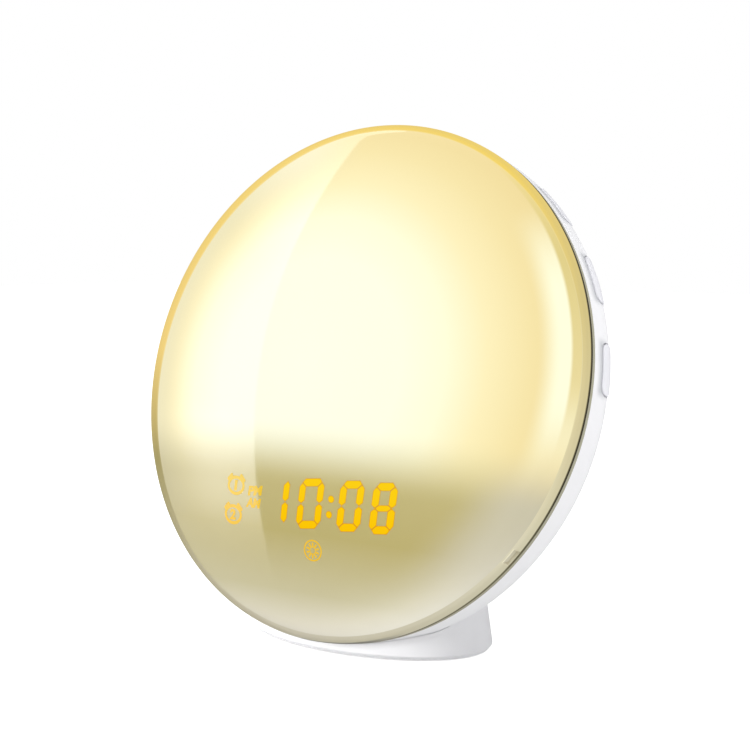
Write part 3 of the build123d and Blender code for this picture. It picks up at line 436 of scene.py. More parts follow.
# %% Outline of the dome
DOME_RISE = 24.0
EDGE_RADIUS = 9.2
DOME_SKIRT = 0.5
DOME_WALL = 2.0
PLUG_OUTER = 83.6
PLUG_INNER = 81.4
PLUG_DEPTH = 1.7
CAP_POINTS = 48
EDGE_POINTS = 16
DOME_STEPS = 320

edge_centre = DISC_RADIUS - EDGE_RADIUS
crown_height = DOME_RISE - DOME_SKIRT
cap_radius = (edge_centre**2 + crown_height**2 - EDGE_RADIUS**2) / (
    2 * (crown_height - EDGE_RADIUS)
)
cap_centre = DOME_RISE - cap_radius
cap_angle = math.atan2(edge_centre, cap_radius - crown_height)


def arc(centre, radius, start, end, count):
    """Points on an arc; the angles are measured from the disc's axis."""
    turns = [start + (end - start) * i / count for i in range(count + 1)]
    return [(centre[0] + radius * math.sin(t), centre[1] + radius * math.cos(t)) for t in turns]


def dome_outline(inset):
    """The line of the dome's face from its middle to the rim, moved in by the inset."""
    cap = arc((0, cap_centre), cap_radius - inset, 0, cap_angle, CAP_POINTS)
    edge = arc(
        (edge_centre, DOME_SKIRT), EDGE_RADIUS - inset, cap_angle, math.pi / 2, EDGE_POINTS
    )
    return cap + edge[1:]


def dome_depth(radius):
    """How far the cap of the dome is in front of the rim plane, in mm."""
    return cap_centre + math.sqrt(cap_radius**2 - radius**2)


print("cap radius %.1f mm, its half angle %.2f degrees" % (cap_radius, math.degrees(cap_angle)))

# %% [markdown]
# ## Turning, finishing and naming a piece
#
# A lathe turns an outline of (radius, depth) points about the disc's axis. The finished
# mesh is moved to its real place before it becomes an object, so every object stays at the
# origin, like the model's own pieces. Edges sharper than a given angle stay crisp.

# %% Lathe and finish
SHARP = math.radians(28)
SEAM = 0.001


def lathe(outline, steps, closed=True):
    """A bmesh in disc millimetres, turned from (radius, depth) points."""
    bm = bmesh.new()
    points = [bm.verts.new((r, 0, w)) for r, w in outline]
    pairs = list(zip(points, points[1:])) + ([(points[-1], points[0])] if closed else [])
    edges = [bm.edges.new(pair) for pair in pairs]
    bmesh.ops.spin(
        bm,
        geom=points + edges,
        cent=(0, 0, 0),
        axis=(0, 0, 1),
        angle=2 * math.pi,
        steps=steps,
        use_merge=True,
    )
    bmesh.ops.remove_doubles(bm, verts=bm.verts, dist=SEAM)
    bmesh.ops.recalc_face_normals(bm, faces=bm.faces)
    return bm


def mark_edges(bm):
    """Keeps an edge crisp where its faces turn sharply."""
    for edge in bm.edges:
        edge.smooth = len(edge.link_faces) == 2 and edge.calc_face_angle(0) < SHARP


def make_piece(name, bm, material):
    """Turns a bmesh in disc millimetres into a piece of the case, with the material given."""
    bm.transform(disc_place)
    for face in bm.faces:
        face.smooth = True
    mark_edges(bm)
    mesh = bpy.data.meshes.new(name)
    bm.to_mesh(mesh)
    bm.free()
    mesh.materials.append(material)
    piece = bpy.data.objects.new(name, mesh)
    bpy.context.scene.collection.objects.link(piece)
    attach(piece, "case")
    print(name, "has", len(mesh.polygons), "faces")
    return piece


print("edges over %.0f degrees stay crisp" % math.degrees(SHARP))

# %% [markdown]
# ## The glow
#
# Lamps behind the upper two thirds of the dome light it evenly, and a divider keeps their light out of
# the display's part. That part shows the straw plastic over the dark display, and the little glow that
# still reaches it through the wall is painted into its tones. The dome's paint is therefore a map of
# light, in millimetres: cream in the middle, yellow further out, and a soft border above the display.
# Light that the wall itself carries leaves it on the right, just inside the rim, and pales the plastic
# at the lower right. A bright crescent just inside the rim at the right is a painted highlight, the
# reflection of a lamp there.

# %% The light that leaves the dome
LIT_SHARE = 0.85
LIT_BORDER = (-37, -17)
LAMP_MIDDLE = (-3, -1, 0)
PALE_TURN = math.radians(-62)
PALE_WAY = (math.cos(PALE_TURN), math.sin(PALE_TURN), 0)
PALE_REACH = (62, 84)
PALE_SHARE = 0.8
# Tones by distance from the middle of the lamps, in mm.
LIT_TONES = (
    (0, "FFFFE6"),
    (36, "FFFEE2"),
    (50, "FFFBD6"),
    (62, "FBEEB8"),
    (74, "F4E2A4"),
    (90, "EBD491"),
)
# Tones by height above the disc's middle, in mm: straw plastic with a little painted glow.
UNLIT_TONES = (
    (-84, "EEE9DA"),
    (-70, "CBC39A"),
    (-52, "BAAC6A"),
    (-38, "BFB274"),
    (-22, "D6CC98"),
)
# Tones by turn round the rim.
STRAW_TONES = ((0.58, "F0D98E"), (0.67, "DCCA80"), (0.78, "EADA9E"))


def share_light(tree, shader, paint, above):
    """Where the lamps reach, most of the colour is light; elsewhere it is plain plastic."""
    share = add_node(tree, "Math", above, LIT_SHARE, operation="MULTIPLY")
    black = linear("000000")
    plain = add_node(tree, "Mix", share, paint, black, data_type="RGBA")
    light = add_node(tree, "Mix", share, black, paint, data_type="RGBA")
    fill_sockets(shader, {"Base Color": plain, "Emission Color": light})
    fill_sockets(shader, {"Emission Strength": 1.0})


def lit_plastic(tree, at, right):
    """Cream before the lamps, yellow further out, and duller along the left edge."""
    from_lamps = add_node(tree, "VectorMath", at["flat"], LAMP_MIDDLE, operation="DISTANCE")
    lit = colours_along(tree, from_lamps, LIT_TONES)
    return paint_over(tree, lit, "E5DCB0", 1.0, (at["radius"], 58, 77), (right, 0, -0.4))


def unlit_plastic(tree, at, right):
    """Straw by height, with a little painted glow in it, and greyer near the rim, most of all at the
    right.
    """
    unlit = colours_along(tree, at["up"], UNLIT_TONES)
    left_side = patch(tree, 0.3, (right, -0.5, -0.9))
    right_side = patch(tree, 0.85, (right, 0.45, 0.8))
    sides = add_node(tree, "Math", left_side, right_side, operation="ADD")
    return paint_over(tree, unlit, "CCC6AE", sides, (at["radius"], 63, 80))


def wall_light_and_highlight(tree, at, right, paint):
    """The pale lower right, a painted highlight in a crescent at the right, and the straw strip by the
    rim.
    """
    towards_pale = add_node(tree, "VectorMath", at["flat"], PALE_WAY, operation="DOT_PRODUCT")
    pale = add_node(tree, "MapRange", towards_pale, *PALE_REACH)
    pale = add_node(tree, "Math", pale, 3, operation="POWER")
    pale = add_node(tree, "Math", pale, PALE_SHARE, operation="MULTIPLY")
    paint = paint_over(tree, paint, "FFFCF0", pale)
    # Painted highlight: a bright crescent inside the rim at the right, the reflection of a lamp there.
    crescent = ((at["radius"], 73, 80), (right, 0.72, 0.95), (at["up"], -34, -2))
    paint = paint_over(tree, paint, "FFFDDA", 1.0, *crescent)
    straw = colours_along(tree, at["turn"], STRAW_TONES)
    strip = ((at["turn"], 0.57, 0.62), (at["turn"], 0.8, 0.74), (at["radius"], 81.8, 82.7))
    return paint_over(tree, paint, straw, 1.0, *strip)


def glowing_polycarbonate():
    """Polished polycarbonate: milky with light, and smooth enough for sharp reflections."""
    material, tree, shader = new_material("dome_polycarbonate", Roughness=0.05, IOR=1.49)
    at = disc_coordinates(tree)
    right = add_node(tree, "Math", at["across"], at["radius"], operation="DIVIDE")
    above = patch(tree, 1.0, (at["up"], *LIT_BORDER))
    unlit = unlit_plastic(tree, at, right)
    paint = paint_over(tree, unlit, lit_plastic(tree, at, right), above)
    share_light(tree, shader, wall_light_and_highlight(tree, at, right, paint), above)
    return material


dome_glow = glowing_polycarbonate()
print("dome material has", len(dome_glow.node_tree.nodes), "nodes")

# %% [markdown]
# ## The glow of the rim
#
# The rim is the cut end of the light's path inside the wall. It is amber at the left, gold over the
# top, straw and then khaki down the right, stone at the bottom, and olive at the lower left. A band of
# its own, widest at the left and the top left, has this finish: a satin one, since the mould is
# textured there. The band's border is where a slightly tilted plane meets the dome. From that border
# the colour deepens within a millimetre and dulls again towards the seal. Next to the seal the skirt
# is darkened with painted shade, and the lowest part of the rim carries a painted shadow where it
# overhangs the foot.

# %% Rim finish
NOTCH_ANGLE = math.radians(-36)
NOTCH_ALONG = (-math.sin(NOTCH_ANGLE), math.cos(NOTCH_ANGLE), 0)
NOTCH_LENGTH = 5.3
NOTCH_HEIGHT = 3.6
NOTCH_DEPTH = 0.9
NOTCH_LIP = 0.6
BAND_HEIGHT = 7.5
BAND_TILT = 0.0385
BAND_TURN = math.radians(167.4)
BAND_WAY = (math.cos(BAND_TURN), math.sin(BAND_TURN), 0)
GOLD = "F2D264"
AMBER = "EECE78"
STRAW = "D8C684"
KHAKI = "DAD4B8"
STONE = "DAD4C0"
OLIVE = "A2965F"
LIT_CREAM = "FFF6C4"
DULL_OLIVE = "A89F74"
# Tones by turn round the rim.
RIM_TONES = (
    (0, STONE),
    (0.18, OLIVE),
    (0.26, AMBER),
    (0.6, GOLD),
    (0.7, STRAW),
    (0.84, KHAKI),
    (1, STONE),
)


def below_border(tree, at):
    """How far a place is below the band's border, towards the seal, in mm."""
    along = add_node(tree, "VectorMath", at["flat"], BAND_WAY, operation="DOT_PRODUCT")
    border = add_node(tree, "Math", along, BAND_TILT, BAND_HEIGHT, operation="MULTIPLY_ADD")
    return add_node(tree, "Math", border, at["out"], operation="SUBTRACT")


def notch_paint(tree, at, colour):
    """Painted light in the notch: a highlight along its upper edge, painted shade over its floor, and
    a darker painted shadow at one end.
    """
    past = add_node(tree, "VectorMath", at["flat"], NOTCH_ALONG, operation="DOT_PRODUCT")
    away = add_node(tree, "Math", past, operation="ABSOLUTE")
    end = NOTCH_LENGTH / 2
    # Painted highlight along the notch's upper edge.
    edge_highlight = (
        (away, end + 0.2, end),
        (at["across"], 40, 50),
        (at["out"], NOTCH_HEIGHT - 0.1, NOTCH_HEIGHT),
        (at["out"], NOTCH_HEIGHT + 0.5, NOTCH_HEIGHT + 0.3),
    )
    # Painted shade over the notch's floor, darker still at one end.
    sunk = (at["radius"], DISC_RADIUS - 0.6, DISC_RADIUS - 0.8)
    floor = patch(tree, 1.0, sunk, (at["out"], NOTCH_HEIGHT + 0.1, NOTCH_HEIGHT))
    colour = paint_over(tree, colour, "EDE7CC", 1.0, *edge_highlight)
    colour = paint_over(tree, colour, "BDB592", floor)
    return paint_over(tree, colour, "7E7654", floor, (past, end - 0.8, end - 0.3))


def glowing_rim():
    """Satin polycarbonate: almost no reflection, so the light's own colour shows."""
    material, tree, shader = new_material(
        "rim_polycarbonate", Roughness=0.45, Specular_IOR_Level=0.05
    )
    at = disc_coordinates(tree)
    core = colours_along(tree, at["turn"], RIM_TONES)
    inner = paint_over(tree, core, LIT_CREAM, 0.25, (at["up"], -45, 0))
    outer = paint_over(tree, core, DULL_OLIVE, 0.15)
    behind = below_border(tree, at)
    colour = paint_over(tree, inner, core, 1.0, (behind, 0.05, 0.55))
    colour = paint_over(tree, colour, outer, 1.0, (behind, 0.7, 2.4))
    # Painted shade: the skirt next to the seal is darkened to a near-black olive.
    colour = paint_over(tree, colour, "5A5238", 1.0, (at["out"], 0.7, 0.25))
    # Painted shadow: a grey line along the lowest part of the rim, where it overhangs the foot.
    shadow_over_foot = ((at["out"], 3.4, 1.8), (at["up"], -76, -83.5))
    colour = paint_over(tree, colour, "77756B", 1.0, *shadow_over_foot)
    above = patch(tree, 1.0, (at["up"], -60, -10))
    share_light(tree, shader, notch_paint(tree, at, colour), above)
    return material


rim_glow = glowing_rim()
print("rim material has", len(rim_glow.node_tree.nodes), "nodes")

# %% [markdown]
# ## The dome's mesh and its notch
#
# Spinning the outline gives the whole moulding, inner wall and all. The tilted plane cuts
# the band's border into it, so that the rim's finish starts on a clean line. The small
# notch at the lower right, where a fingernail lifts the dome off, is cut with a box.

# %% Dome
PLUG_ROOT = 0.3


def cut_away(piece, bm):
    """Cuts a closed shape, given in disc millimetres, out of a piece."""
    bm.transform(disc_place)
    mesh = bpy.data.meshes.new("cutter")
    bm.to_mesh(mesh)
    bm.free()
    cutter = bpy.data.objects.new("cutter", mesh)
    bpy.context.scene.collection.objects.link(cutter)
    cut = piece.modifiers.new("cut", "BOOLEAN")
    cut.object, cut.operation, cut.solver = cutter, "DIFFERENCE", "EXACT"
    graph = bpy.context.evaluated_depsgraph_get()
    piece.data = bpy.data.meshes.new_from_object(piece.evaluated_get(graph))
    piece.modifiers.clear()
    bpy.data.objects.remove(cutter)


def keep_crisp(piece):
    """Marks a finished mesh's edges again, which a cut has changed."""
    bm = bmesh.new()
    bm.from_mesh(piece.data)
    mark_edges(bm)
    bm.to_mesh(piece.data)
    bm.free()


def behind_border(face):
    """Whether a face is behind the tilted plane where the rim's own finish begins."""
    return (face.calc_center_median() - band_place).dot(band_normal) < 0


band_place = Vector((0, 0, BAND_HEIGHT))
band_normal = Vector((-BAND_TILT * BAND_WAY[0], -BAND_TILT * BAND_WAY[1], 1))
plug = [(PLUG_OUTER, 0), (PLUG_OUTER, -PLUG_DEPTH), (PLUG_INNER, -PLUG_DEPTH), (PLUG_INNER, PLUG_ROOT)]
inside = dome_outline(DOME_WALL)[:-1][::-1]
dome_mesh = lathe(dome_outline(0) + [(DISC_RADIUS, 0)] + plug + inside, DOME_STEPS, closed=False)
bmesh.ops.bisect_plane(
    dome_mesh,
    geom=dome_mesh.verts[:] + dome_mesh.edges[:] + dome_mesh.faces[:],
    plane_co=band_place,
    plane_no=band_normal,
)
for face in dome_mesh.faces:
    if behind_border(face):
        face.material_index = 1
dome = make_piece("dome_shell", dome_mesh, dome_glow)
dome.data.materials.append(rim_glow)
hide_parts("dome")
notch = bmesh.new()
bmesh.ops.create_cube(notch, size=1)
notch_size = (2 * NOTCH_DEPTH, NOTCH_LENGTH, NOTCH_HEIGHT - NOTCH_LIP)
bmesh.ops.scale(notch, vec=notch_size, verts=notch.verts)
bmesh.ops.translate(
    notch, vec=(DISC_RADIUS, 0, (NOTCH_HEIGHT + NOTCH_LIP) / 2), verts=notch.verts
)
bmesh.ops.rotate(notch, matrix=Matrix.Rotation(NOTCH_ANGLE, 3, "Z"), verts=notch.verts)
cut_away(dome, notch)
keep_crisp(dome)

# %% [markdown]
# ## The seal
#
# The seal is a flat rubber ring that is squeezed between the dome and the frame, so its outer edge
# bulges almost to their surface. Its near-black rubber draws the dark line behind the dome, and stands
# in for the shade in the gap as well.

# %% Seal
SEAL_OUTER = 84.92
SEAL_INNER = 83.7
SEAL_BULGE = 0.15


def moulded_seal():
    """Olive rubber: dull, and paler grey towards the bottom."""
    material, tree, shader = new_material(
        "seal_rubber_olive", Roughness=0.7, Specular_IOR_Level=0.2
    )
    up = disc_coordinates(tree)["up"]
    # The seal's near-black is partly its rubber and partly painted shade of the gap it sits in.
    colour = paint_over(tree, linear("262210"), "6E684A", 1.0, (up, -25, -62))
    fill_sockets(shader, {"Base Color": colour})
    return material


seal_deep = seal_thick / MM
seal_outline = [
    (SEAL_INNER, 0),
    (SEAL_OUTER - SEAL_BULGE, 0),
    (SEAL_OUTER, -SEAL_BULGE),
    (SEAL_OUTER, SEAL_BULGE - seal_deep),
    (SEAL_OUTER - SEAL_BULGE, -seal_deep),
    (SEAL_INNER, -seal_deep),
]
seal = make_piece("seal_ring", lathe(seal_outline, DOME_STEPS), moulded_seal())
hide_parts("dome_gasket")

# %% [markdown]
# ## Lit figures
#
# Behind the unlit part of the dome is a seven-segment display. Its light is only seen
# where it leaves the plastic, so the figures are thin amber inlays that follow the dome's
# surface. Each segment starts as a flat outline whose ends are cut on the slant, so that
# neighbours share their cut. The whole outline is drawn in a deeper orange, and a smaller
# copy with rounded corners lies on it, which leaves an orange edge round every segment.

# %% Segment shapes
FIGURE_HEIGHT = 15.6
STROKE = 2.6
CORNER_ACROSS = 2.0
CORNER_UP = 2.5
TIP = 1.0
LIT_SEGMENTS = {"0": "abcdef", "1": "bc", "8": "abcdefg"}


def segments(width, lit):
    """Outlines of the lit segments of one figure, with its lower left corner at 0, 0."""
    high, middle, half = FIGURE_HEIGHT, FIGURE_HEIGHT / 2, STROKE / 2
    cut_low, cut_high = (0, high - CORNER_UP), (CORNER_ACROSS, high)
    cut_middle = (CORNER_ACROSS / 2, high - CORNER_UP / 2)
    inner = (STROKE, high - STROKE)

    def flip_across(shape):
        return [(width - x, y) for x, y in shape]

    def flip_up(shape):
        return [(x, high - y) for x, y in shape]

    side = [cut_low, cut_middle, inner, (STROKE, middle + TIP), (half, middle), (0, middle + TIP)]
    top = [cut_middle, cut_high] + flip_across([cut_high, cut_middle, inner]) + [inner]
    bar = [(half, middle), (STROKE, middle + TIP), (width - STROKE, middle + TIP)]
    bar += [(width - half, middle), (width - STROKE, middle - TIP), (STROKE, middle - TIP)]
    shapes = {
        "a": top,
        "b": flip_across(side),
        "c": flip_up(flip_across(side)),
        "d": flip_up(top),
        "e": flip_up(side),
        "f": side,
        "g": bar,
    }
    return [shapes[name] for name in lit]


print("segments in 10:08:", sum(len(LIT_SEGMENTS[figure]) for figure in "1008"))

# %% [markdown]
# ## From flat outlines to inlays
#
# An inlay is made from a flat bmesh. Its faces can be inset, which gives the smaller core,
# and their corners rounded with a bevel of the vertices. Then every point is lifted to the
# dome's surface, and the sheet is extruded a little way into the plastic, so that it has
# walls and no open edge.

# %% Inlays
LIFT = 0.05
SINK = 0.15


def outline_faces(shapes):
    """A flat bmesh with one face for each outline of (across, up) points."""
    bm = bmesh.new()
    for outline in shapes:
        bm.faces.new([bm.verts.new((x, y, 0)) for x, y in outline])
    bm.normal_update()
    return bm


def shrink_and_round(bm, gap, corner):
    """Pulls every face in by a gap, drops the frame that is left, and rounds the corners."""
    frames = bmesh.ops.inset_individual(
        bm, faces=bm.faces[:], thickness=gap, use_even_offset=True
    )["faces"]
    bmesh.ops.delete(bm, geom=frames, context="FACES")
    bmesh.ops.bevel(
        bm, geom=bm.verts[:], offset=corner, affect="VERTICES", segments=3, profile=0.5, material=-1
    )


def lay_on_dome(bm, lift=LIFT):
    """Lifts a flat mesh onto the dome and gives it walls that reach into the plastic."""
    bmesh.ops.remove_doubles(bm, verts=bm.verts, dist=SEAM)
    for vertex in bm.verts:
        vertex.co.z = dome_depth(math.hypot(vertex.co.x, vertex.co.y)) + lift
    bmesh.ops.recalc_face_normals(bm, faces=bm.faces)
    if sum(face.normal.z for face in bm.faces) < 0:
        bmesh.ops.reverse_faces(bm, faces=bm.faces)
    sheet = bmesh.ops.extrude_face_region(bm, geom=bm.faces[:], use_keep_orig=True)["geom"]
    lowered = [part for part in sheet if isinstance(part, bmesh.types.BMVert)]
    bmesh.ops.translate(bm, vec=(0, 0, -SINK - lift), verts=lowered)
    bmesh.ops.recalc_face_normals(bm, faces=bm.faces)
    return bm


print("an inlay is %.2f mm thick" % (LIFT + SINK))

# %% [markdown]
# ## Amber light in the plastic
#
# The display's light is a saturated amber, a little yellower towards the top of the row.
# The figures right of the softbox's reflection hardly reflect anything, while the icons under it keep
# some of the dome's polish and so pale with it, and their amber is painted paler as well, a painted
# reflection of the softbox.

# %% Lit materials
AMBER_STRENGTH = 0.94
ROW_SPAN = (-52, -34)


def lit_amber(name, low, high, specular):
    """Light from an amber display that leaves through the dome's polished plastic."""
    material, tree, shader = new_material(
        name, Roughness=0.05, IOR=1.49, Specular_IOR_Level=specular
    )
    up = disc_coordinates(tree)["up"]
    colour = paint_over(tree, linear(low), high, 1.0, (up, *ROW_SPAN))
    fill_sockets(shader, {"Base Color": linear("3A2A00"), "Emission Color": colour})
    fill_sockets(shader, {"Emission Strength": AMBER_STRENGTH})
    return material


amber = lit_amber("lit_amber_core", "FFC806", "FFD216", 0.0)
amber_edge = lit_amber("lit_amber_edge", "E29A20", "DFA63A", 0.0)
# The icons' paler amber is partly a painted reflection of the softbox.
amber_icons = lit_amber("lit_amber_icons", "F2C01C", "ECC838", 0.2)
amber_sun = lit_amber("lit_amber_sun", "EFC238", "EFC238", 0.1)
print("amber:", [round(c, 3) for c in linear("FFC806")])

# %% [markdown]
# ## The row of figures
#
# The row leans to the right and climbs a little, as it does through the curved plastic.
# Each outline is drawn flat, sheared sideways and upwards, and moved to its middle.

# %% Figures and colon
SLANT = math.tan(math.radians(5.5))
CLIMB = math.tan(math.radians(6.3))
FIGURES = [
    ("1", -7.9, -43.45, 9.5),
    ("0", 5.4, -42.6, 9.6),
    ("0", 20.2, -41.75, 8.7),
    ("8", 31.5, -41.1, 8.3),
]
COLON = [(13.25, -40.45), (12.65, -45.2)]
COLON_RADIUS = 1.15
DOT_STEPS = 20
SEGMENT_GAP = 0.2
SEGMENT_CORNER = 0.42


def figure_shapes():
    """All the row's segments as outlines in disc millimetres."""
    shapes = []
    for figure, middle_x, middle_y, width in FIGURES:
        for outline in segments(width, LIT_SEGMENTS[figure]):
            placed = []
            for x, y in outline:
                right, rise = x - width / 2, y - FIGURE_HEIGHT / 2
                placed.append((middle_x + right + rise * SLANT, middle_y + rise + right * CLIMB))
            shapes.append(placed)
    return shapes


def dot(middle, radius):
    """A round outline."""
    turns = [2 * math.pi * i / DOT_STEPS for i in range(DOT_STEPS)]
    return [(middle[0] + radius * math.cos(t), middle[1] + radius * math.sin(t)) for t in turns]


halo = outline_faces(figure_shapes() + [dot(place, COLON_RADIUS) for place in COLON])
make_piece("lit_figure_edges", lay_on_dome(halo, LIFT / 2), amber_edge)
core = outline_faces(figure_shapes())
shrink_and_round(core, SEGMENT_GAP, SEGMENT_CORNER)
for place in COLON:
    core.faces.new([core.verts.new((x, y, 0)) for x, y in dot(place, COLON_RADIUS - SEGMENT_GAP)])
make_piece("lit_figures", lay_on_dome(core), amber)

# %% [markdown]
# ## Icons
#
# Two small alarm clocks with a 1 and a 2 stand left of the row, with PM and AM beside
# them, and a sun below it. A ring is a circle with its middle inset and dropped, and a
# petal or a bell is a short bar. Letters come from Blender's own font: a text object is
# made a mesh first, and its points are then moved like those of any other flat shape.

# %% Rings, bars and letters
RING_STEPS = 36
BAR_ROUNDING = 0.4


def flat_ring(bm, middle, radius_across, radius_up, stroke):
    """A ring, or an oval one, with an even stroke."""
    made = bmesh.ops.create_circle(bm, cap_ends=True, segments=RING_STEPS, radius=1)["verts"]
    bmesh.ops.scale(bm, vec=(radius_across, radius_up, 1), verts=made)
    bmesh.ops.translate(bm, vec=(*middle, 0), verts=made)
    disc_face = made[0].link_faces[0]
    bmesh.ops.inset_individual(bm, faces=[disc_face], thickness=stroke, use_even_offset=True)
    bmesh.ops.delete(bm, geom=[disc_face], context="FACES")


def flat_bar(bm, start, end, stroke):
    """A bar with round ends between two places."""
    start, end = Vector((*start, 0)), Vector((*end, 0))
    way = (end - start).normalized() * stroke / 2
    side = Vector((-way.y, way.x, 0))
    corners = [start - way + side, start - way - side, end + way - side, end + way + side]
    made = [bm.verts.new(corner) for corner in corners]
    bm.faces.new(made)
    rounding = stroke * BAR_ROUNDING
    bmesh.ops.bevel(
        bm, geom=made, offset=rounding, affect="VERTICES", segments=3, profile=0.5, material=-1
    )


def flat_text(bm, body, middle, size, weight, slant=0.0, climb=0.0):
    """Letters whose box has a given size in mm, thickened by a weight, round a middle."""
    curve = bpy.data.curves.new("letters", "FONT")
    curve.body = body
    curve.offset = weight
    curve.resolution_u = 3
    text = bpy.data.objects.new("letters", curve)
    mesh = bpy.data.meshes.new_from_object(text)
    bpy.data.objects.remove(text)
    before = set(bm.verts)
    bm.from_mesh(mesh)
    made = [vertex for vertex in bm.verts if vertex not in before]
    low = Vector((min(v.co.x for v in made), min(v.co.y for v in made)))
    high = Vector((max(v.co.x for v in made), max(v.co.y for v in made)))
    for vertex in made:
        right = ((vertex.co.x - low.x) / (high.x - low.x) - 0.5) * size[0]
        rise = ((vertex.co.y - low.y) / (high.y - low.y) - 0.5) * size[1]
        vertex.co = (middle[0] + right + rise * slant, middle[1] + rise + right * climb, 0)


print("a ring has", RING_STEPS, "steps")

# %% [markdown]
# ## Placing the icons
#
# An alarm clock is an oval ring with its numeral inside and two bells on its shoulders,
# each a short bar that lies along the ring. The sun is a ring round ten short petals. All
# places are in millimetres from the disc's middle.

# %% Alarm clocks, their letters and the sun
ALARMS = [("1", (-26.2, -39.9), (4.0, 3.1), 1.2), ("2", (-27.2, -49.2), (4.1, 3.2), 2.7)]
ALARM_STROKE = 1.0
NUMERAL_HEIGHT = 3.4
NUMERAL_SHIFT = 0.1
NUMERAL_WEIGHT = 0.05
NUMERAL_SLANT = 0.1
BELL_ANGLES = (47, 133)
BELL_HALF = 0.9
BELL_STROKE = 1.25
BELL_SEAT = 0.3
LETTERS = [
    ("PM", (-17.35, -40.85), (6.0, 3.15), 0.15, 0.085),
    ("AM", (-18.0, -44.75), (6.1, 3.1), 0.2, 0.0),
]
LETTER_WEIGHT = 0.055
SUN_MIDDLE = (6.76, -56.75)
SUN_REACH = (3.45, 3.3)
SUN_STROKE = 0.5
SUN_PETALS = 10
PETAL_FROM, PETAL_TO = 1.15, 2.15
PETAL_STROKE = 0.6

icons = bmesh.new()
for numeral, (x, y), (reach_across, reach_up), width in ALARMS:
    flat_ring(icons, (x, y), reach_across, reach_up, ALARM_STROKE)
    middle, size = (x - NUMERAL_SHIFT, y), (width, NUMERAL_HEIGHT)
    flat_text(icons, numeral, middle, size, NUMERAL_WEIGHT, NUMERAL_SLANT)
    for bell in BELL_ANGLES:
        right, rise = math.cos(math.radians(bell)), math.sin(math.radians(bell))
        along = Vector((-rise, right)) * BELL_HALF
        seat = Vector((x + (reach_across + BELL_SEAT) * right, y + (reach_up + BELL_SEAT) * rise))
        flat_bar(icons, seat - along, seat + along, BELL_STROKE)
for letters, middle, size, slant, climb in LETTERS:
    flat_text(icons, letters, middle, size, LETTER_WEIGHT, slant, climb)
make_piece("lit_icons", lay_on_dome(icons), amber_icons)

sun = bmesh.new()
flat_ring(sun, SUN_MIDDLE, *SUN_REACH, SUN_STROKE)
for petal in range(SUN_PETALS):
    turn = 2 * math.pi * petal / SUN_PETALS
    way = Vector((math.sin(turn), math.cos(turn)))
    start, end = Vector(SUN_MIDDLE) + way * PETAL_FROM, Vector(SUN_MIDDLE) + way * PETAL_TO
    flat_bar(sun, start, end, PETAL_STROKE)
make_piece("lit_sun", lay_on_dome(sun), amber_sun)

# %% [markdown]
# ## The rest of the clock: moulded plastics
#
# Most of what is left is injection-moulded. Such a surface is never quite smooth: the
# mould was spark-eroded, which leaves a fine, even grain, and the gloss wanders a little
# where the plastic cooled at different speeds. One recipe with two close colours, a
# roughness and a depth of grain makes the whole family. The real grain is about a tenth
# of a millimetre, too fine to show, so it is drawn at a third.

# %% Moulded plastics
GRAIN = 0.35 * MM
GRAIN_STRENGTH = 0.08
WANDER_PER_METRE = 28.0
WANDER = 0.04


def moulded(name, code, shade, roughness, depth=0.006, **values):
    """Spark-eroded thermoplastic: even grain, and gloss that wanders a little."""
    material, tree, shader = new_material(name, **values)
    place = add_node(tree, "TexCoord").outputs["Object"]
    fine = add_node(tree, "TexNoise", place, 1 / GRAIN, 2.0)
    broad = add_node(tree, "TexNoise", place, WANDER_PER_METRE, 3.0)
    tint = add_node(tree, "Mix", broad, linear(code), linear(shade), data_type="RGBA")
    gloss = add_node(tree, "MapRange", broad, 0, 1, roughness - WANDER, roughness + WANDER)
    relief = {"Height": fine, "Strength": GRAIN_STRENGTH, "Distance": depth * MM}
    bump = add_node(tree, "Bump", sockets=relief)
    fill_sockets(shader, {"Base Color": tint, "Roughness": gloss, "Normal": bump})
    return material


print("grain %.2f mm" % (GRAIN / MM))

# %% [markdown]
# ## Painted shade beside the buttons
#
# A little shade lies on the housing between its rim and each right-hand button, read as a soft dip
# that guides a finger there. The model's housing is plain, so only the shade is shown: it is painted
# shade, from the rim to the button, as wide as the button is long.

# %% Shade beside the buttons
BUTTON_ANGLES = (6.5, 26.0, 45.5)
BUTTON_REACH = 7.8
HOLLOW_SHADE = 0.75
HOLLOW_EDGE = (1.25, 0.85)
HOLLOW_FROM = (-3.8, -8.0)
HOLLOW_TO = (-14.0, -9.0)
RIGHT_TURN = 0.75


def shade_by_buttons(material):
    """Lays painted shade beside the right-hand buttons over a material's own colour."""
    tree = material.node_tree
    shader = tree.nodes["Principled BSDF"]
    plain = shader.inputs["Base Color"].links[0].from_socket
    at = disc_coordinates(tree)
    half = BUTTON_REACH / (2 * math.pi * DISC_RADIUS)
    start, end = [half * share for share in HOLLOW_EDGE]
    hollows = 0.0
    for angle in BUTTON_ANGLES:
        away = add_node(tree, "Math", at["turn"], RIGHT_TURN - angle / 360, operation="SUBTRACT")
        away = add_node(tree, "Math", away, operation="ABSOLUTE")
        near = patch(tree, 1.0, (away, start, end))
        hollows = add_node(tree, "Math", hollows, near, operation="MAXIMUM")
    deep = patch(tree, HOLLOW_SHADE, (at["out"], *HOLLOW_FROM), (at["out"], *HOLLOW_TO))
    share = add_node(tree, "Math", hollows, deep, operation="MULTIPLY")
    # Painted shade on the housing between the rim and each right-hand button.
    fill_sockets(shader, {"Base Color": paint_over(tree, plain, "A9ACB1", share)})
    return material


print("hollows at", BUTTON_ANGLES, "degrees")

# %% [markdown]
# ## Giving the finishes out
#
# Each piece of the model names a slot, and a slot has one finish. The housing and the foot
# are white ABS, satin to the eye, and the buttons are a shade greyer with a shallower
# grain. Polystyrene is a bright white and acetal an ivory. Rubber scatters nearly all
# light. Boards shine under their solder mask, LEDs have a yellow or a clear cap, and the
# speaker's cone is dull pressed paper. Plated steel, the cell and the cans are metals,
# whose colour is that of what they mirror, blurred by a drawn or rolled surface.

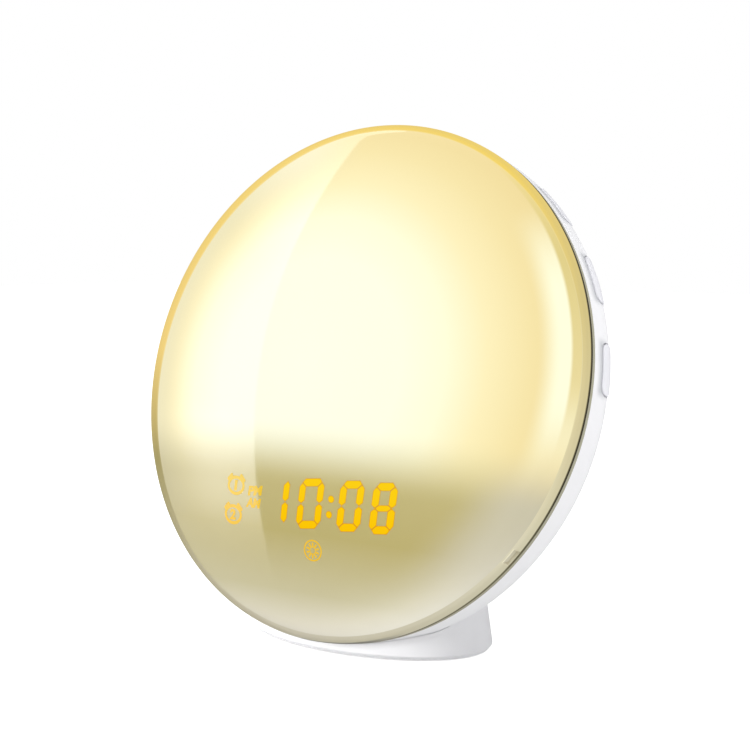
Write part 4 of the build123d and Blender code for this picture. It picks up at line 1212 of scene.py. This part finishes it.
# %% Finishes
SLOT_OF = {part["node"]: part["material_slot"] for part in frame["record"]["subparts"]}
NON_METALS = (
    ("light_board", "white_solder_mask", "F2F1EC", "E8E7E0", 0.3),
    ("warm_led", "yellow_phosphor_cap", "F2DE7A", "EBD268", 0.25),
    ("colour_led", "clear_epoxy_cap", "EFEFEA", "E6E6E0", 0.15),
    ("control_board", "green_solder_mask", "1E5A34", "174A2A", 0.3),
    ("ribbon_plastic", "grey_polyester_ribbon", "B9BBC0", "A9ABB1", 0.4),
    ("wire_plastic", "red_pvc_sleeve", "B4251E", "9E1F19", 0.35),
    ("magnet_ferrite", "sintered_ferrite", "3A3A3D", "303033", 0.55),
    ("cone_paper", "pressed_black_paper", "2A2A2C", "222224", 0.85),
)
METALS = (
    ("screw_steel", "plated_steel", "C4C6CA", "B4B6BA", 0.3),
    ("contact_metal", "plated_spring_bronze", "D0CDC2", "C2BFB4", 0.25),
    ("cell_steel", "rolled_stainless_steel", "D2D3D6", "C5C6C9", 0.2),
    ("capacitor_can", "drawn_aluminium", "C8C9CC", "BABBBF", 0.3),
)


def dress(slot, material):
    """Gives a material to every piece of the model that takes its finish from a slot."""
    dressed = [name for name, own in SLOT_OF.items() if own == slot]
    for name in dressed:
        for place in frame["nodes"][name].material_slots:
            place.material = material
    print(slot, "dresses", len(dressed), "pieces with", material.name)


dress("housing_plastic", shade_by_buttons(moulded("white_abs_satin", "F4F4F6", "EDEDF0", 0.5)))
dress("trim_plastic", moulded("warm_grey_abs", "A29E86", "9C9880", 0.42))
dress("button_plastic", moulded("white_abs_fine", "EDEDF2", "E6E6EC", 0.42, depth=0.003))
dress("base_plastic", moulded("white_abs_matt", "F4F4F6", "EEEEF1", 0.5))
dress("reflector_plastic", moulded("white_polystyrene", "F6F6F2", "EFEFEA", 0.3))
dress("switch_plastic", moulded("acetal_ivory", "EFE9D8", "E6DFCB", 0.4))
dress("pad_rubber", moulded("grey_rubber", "8E8F92", "808184", 0.75, depth=0.02))
dress("display_black", moulded("black_abs", "141416", "1C1C1F", 0.35))
dress("chip_black", moulded("black_epoxy", "18181A", "212124", 0.55))
dress("lit_amber", amber)
for slot, name, code, shade, roughness in NON_METALS:
    dress(slot, moulded(name, code, shade, roughness))
for slot, name, code, shade, roughness in METALS:
    dress(slot, moulded(name, code, shade, roughness, Metallic=1.0))
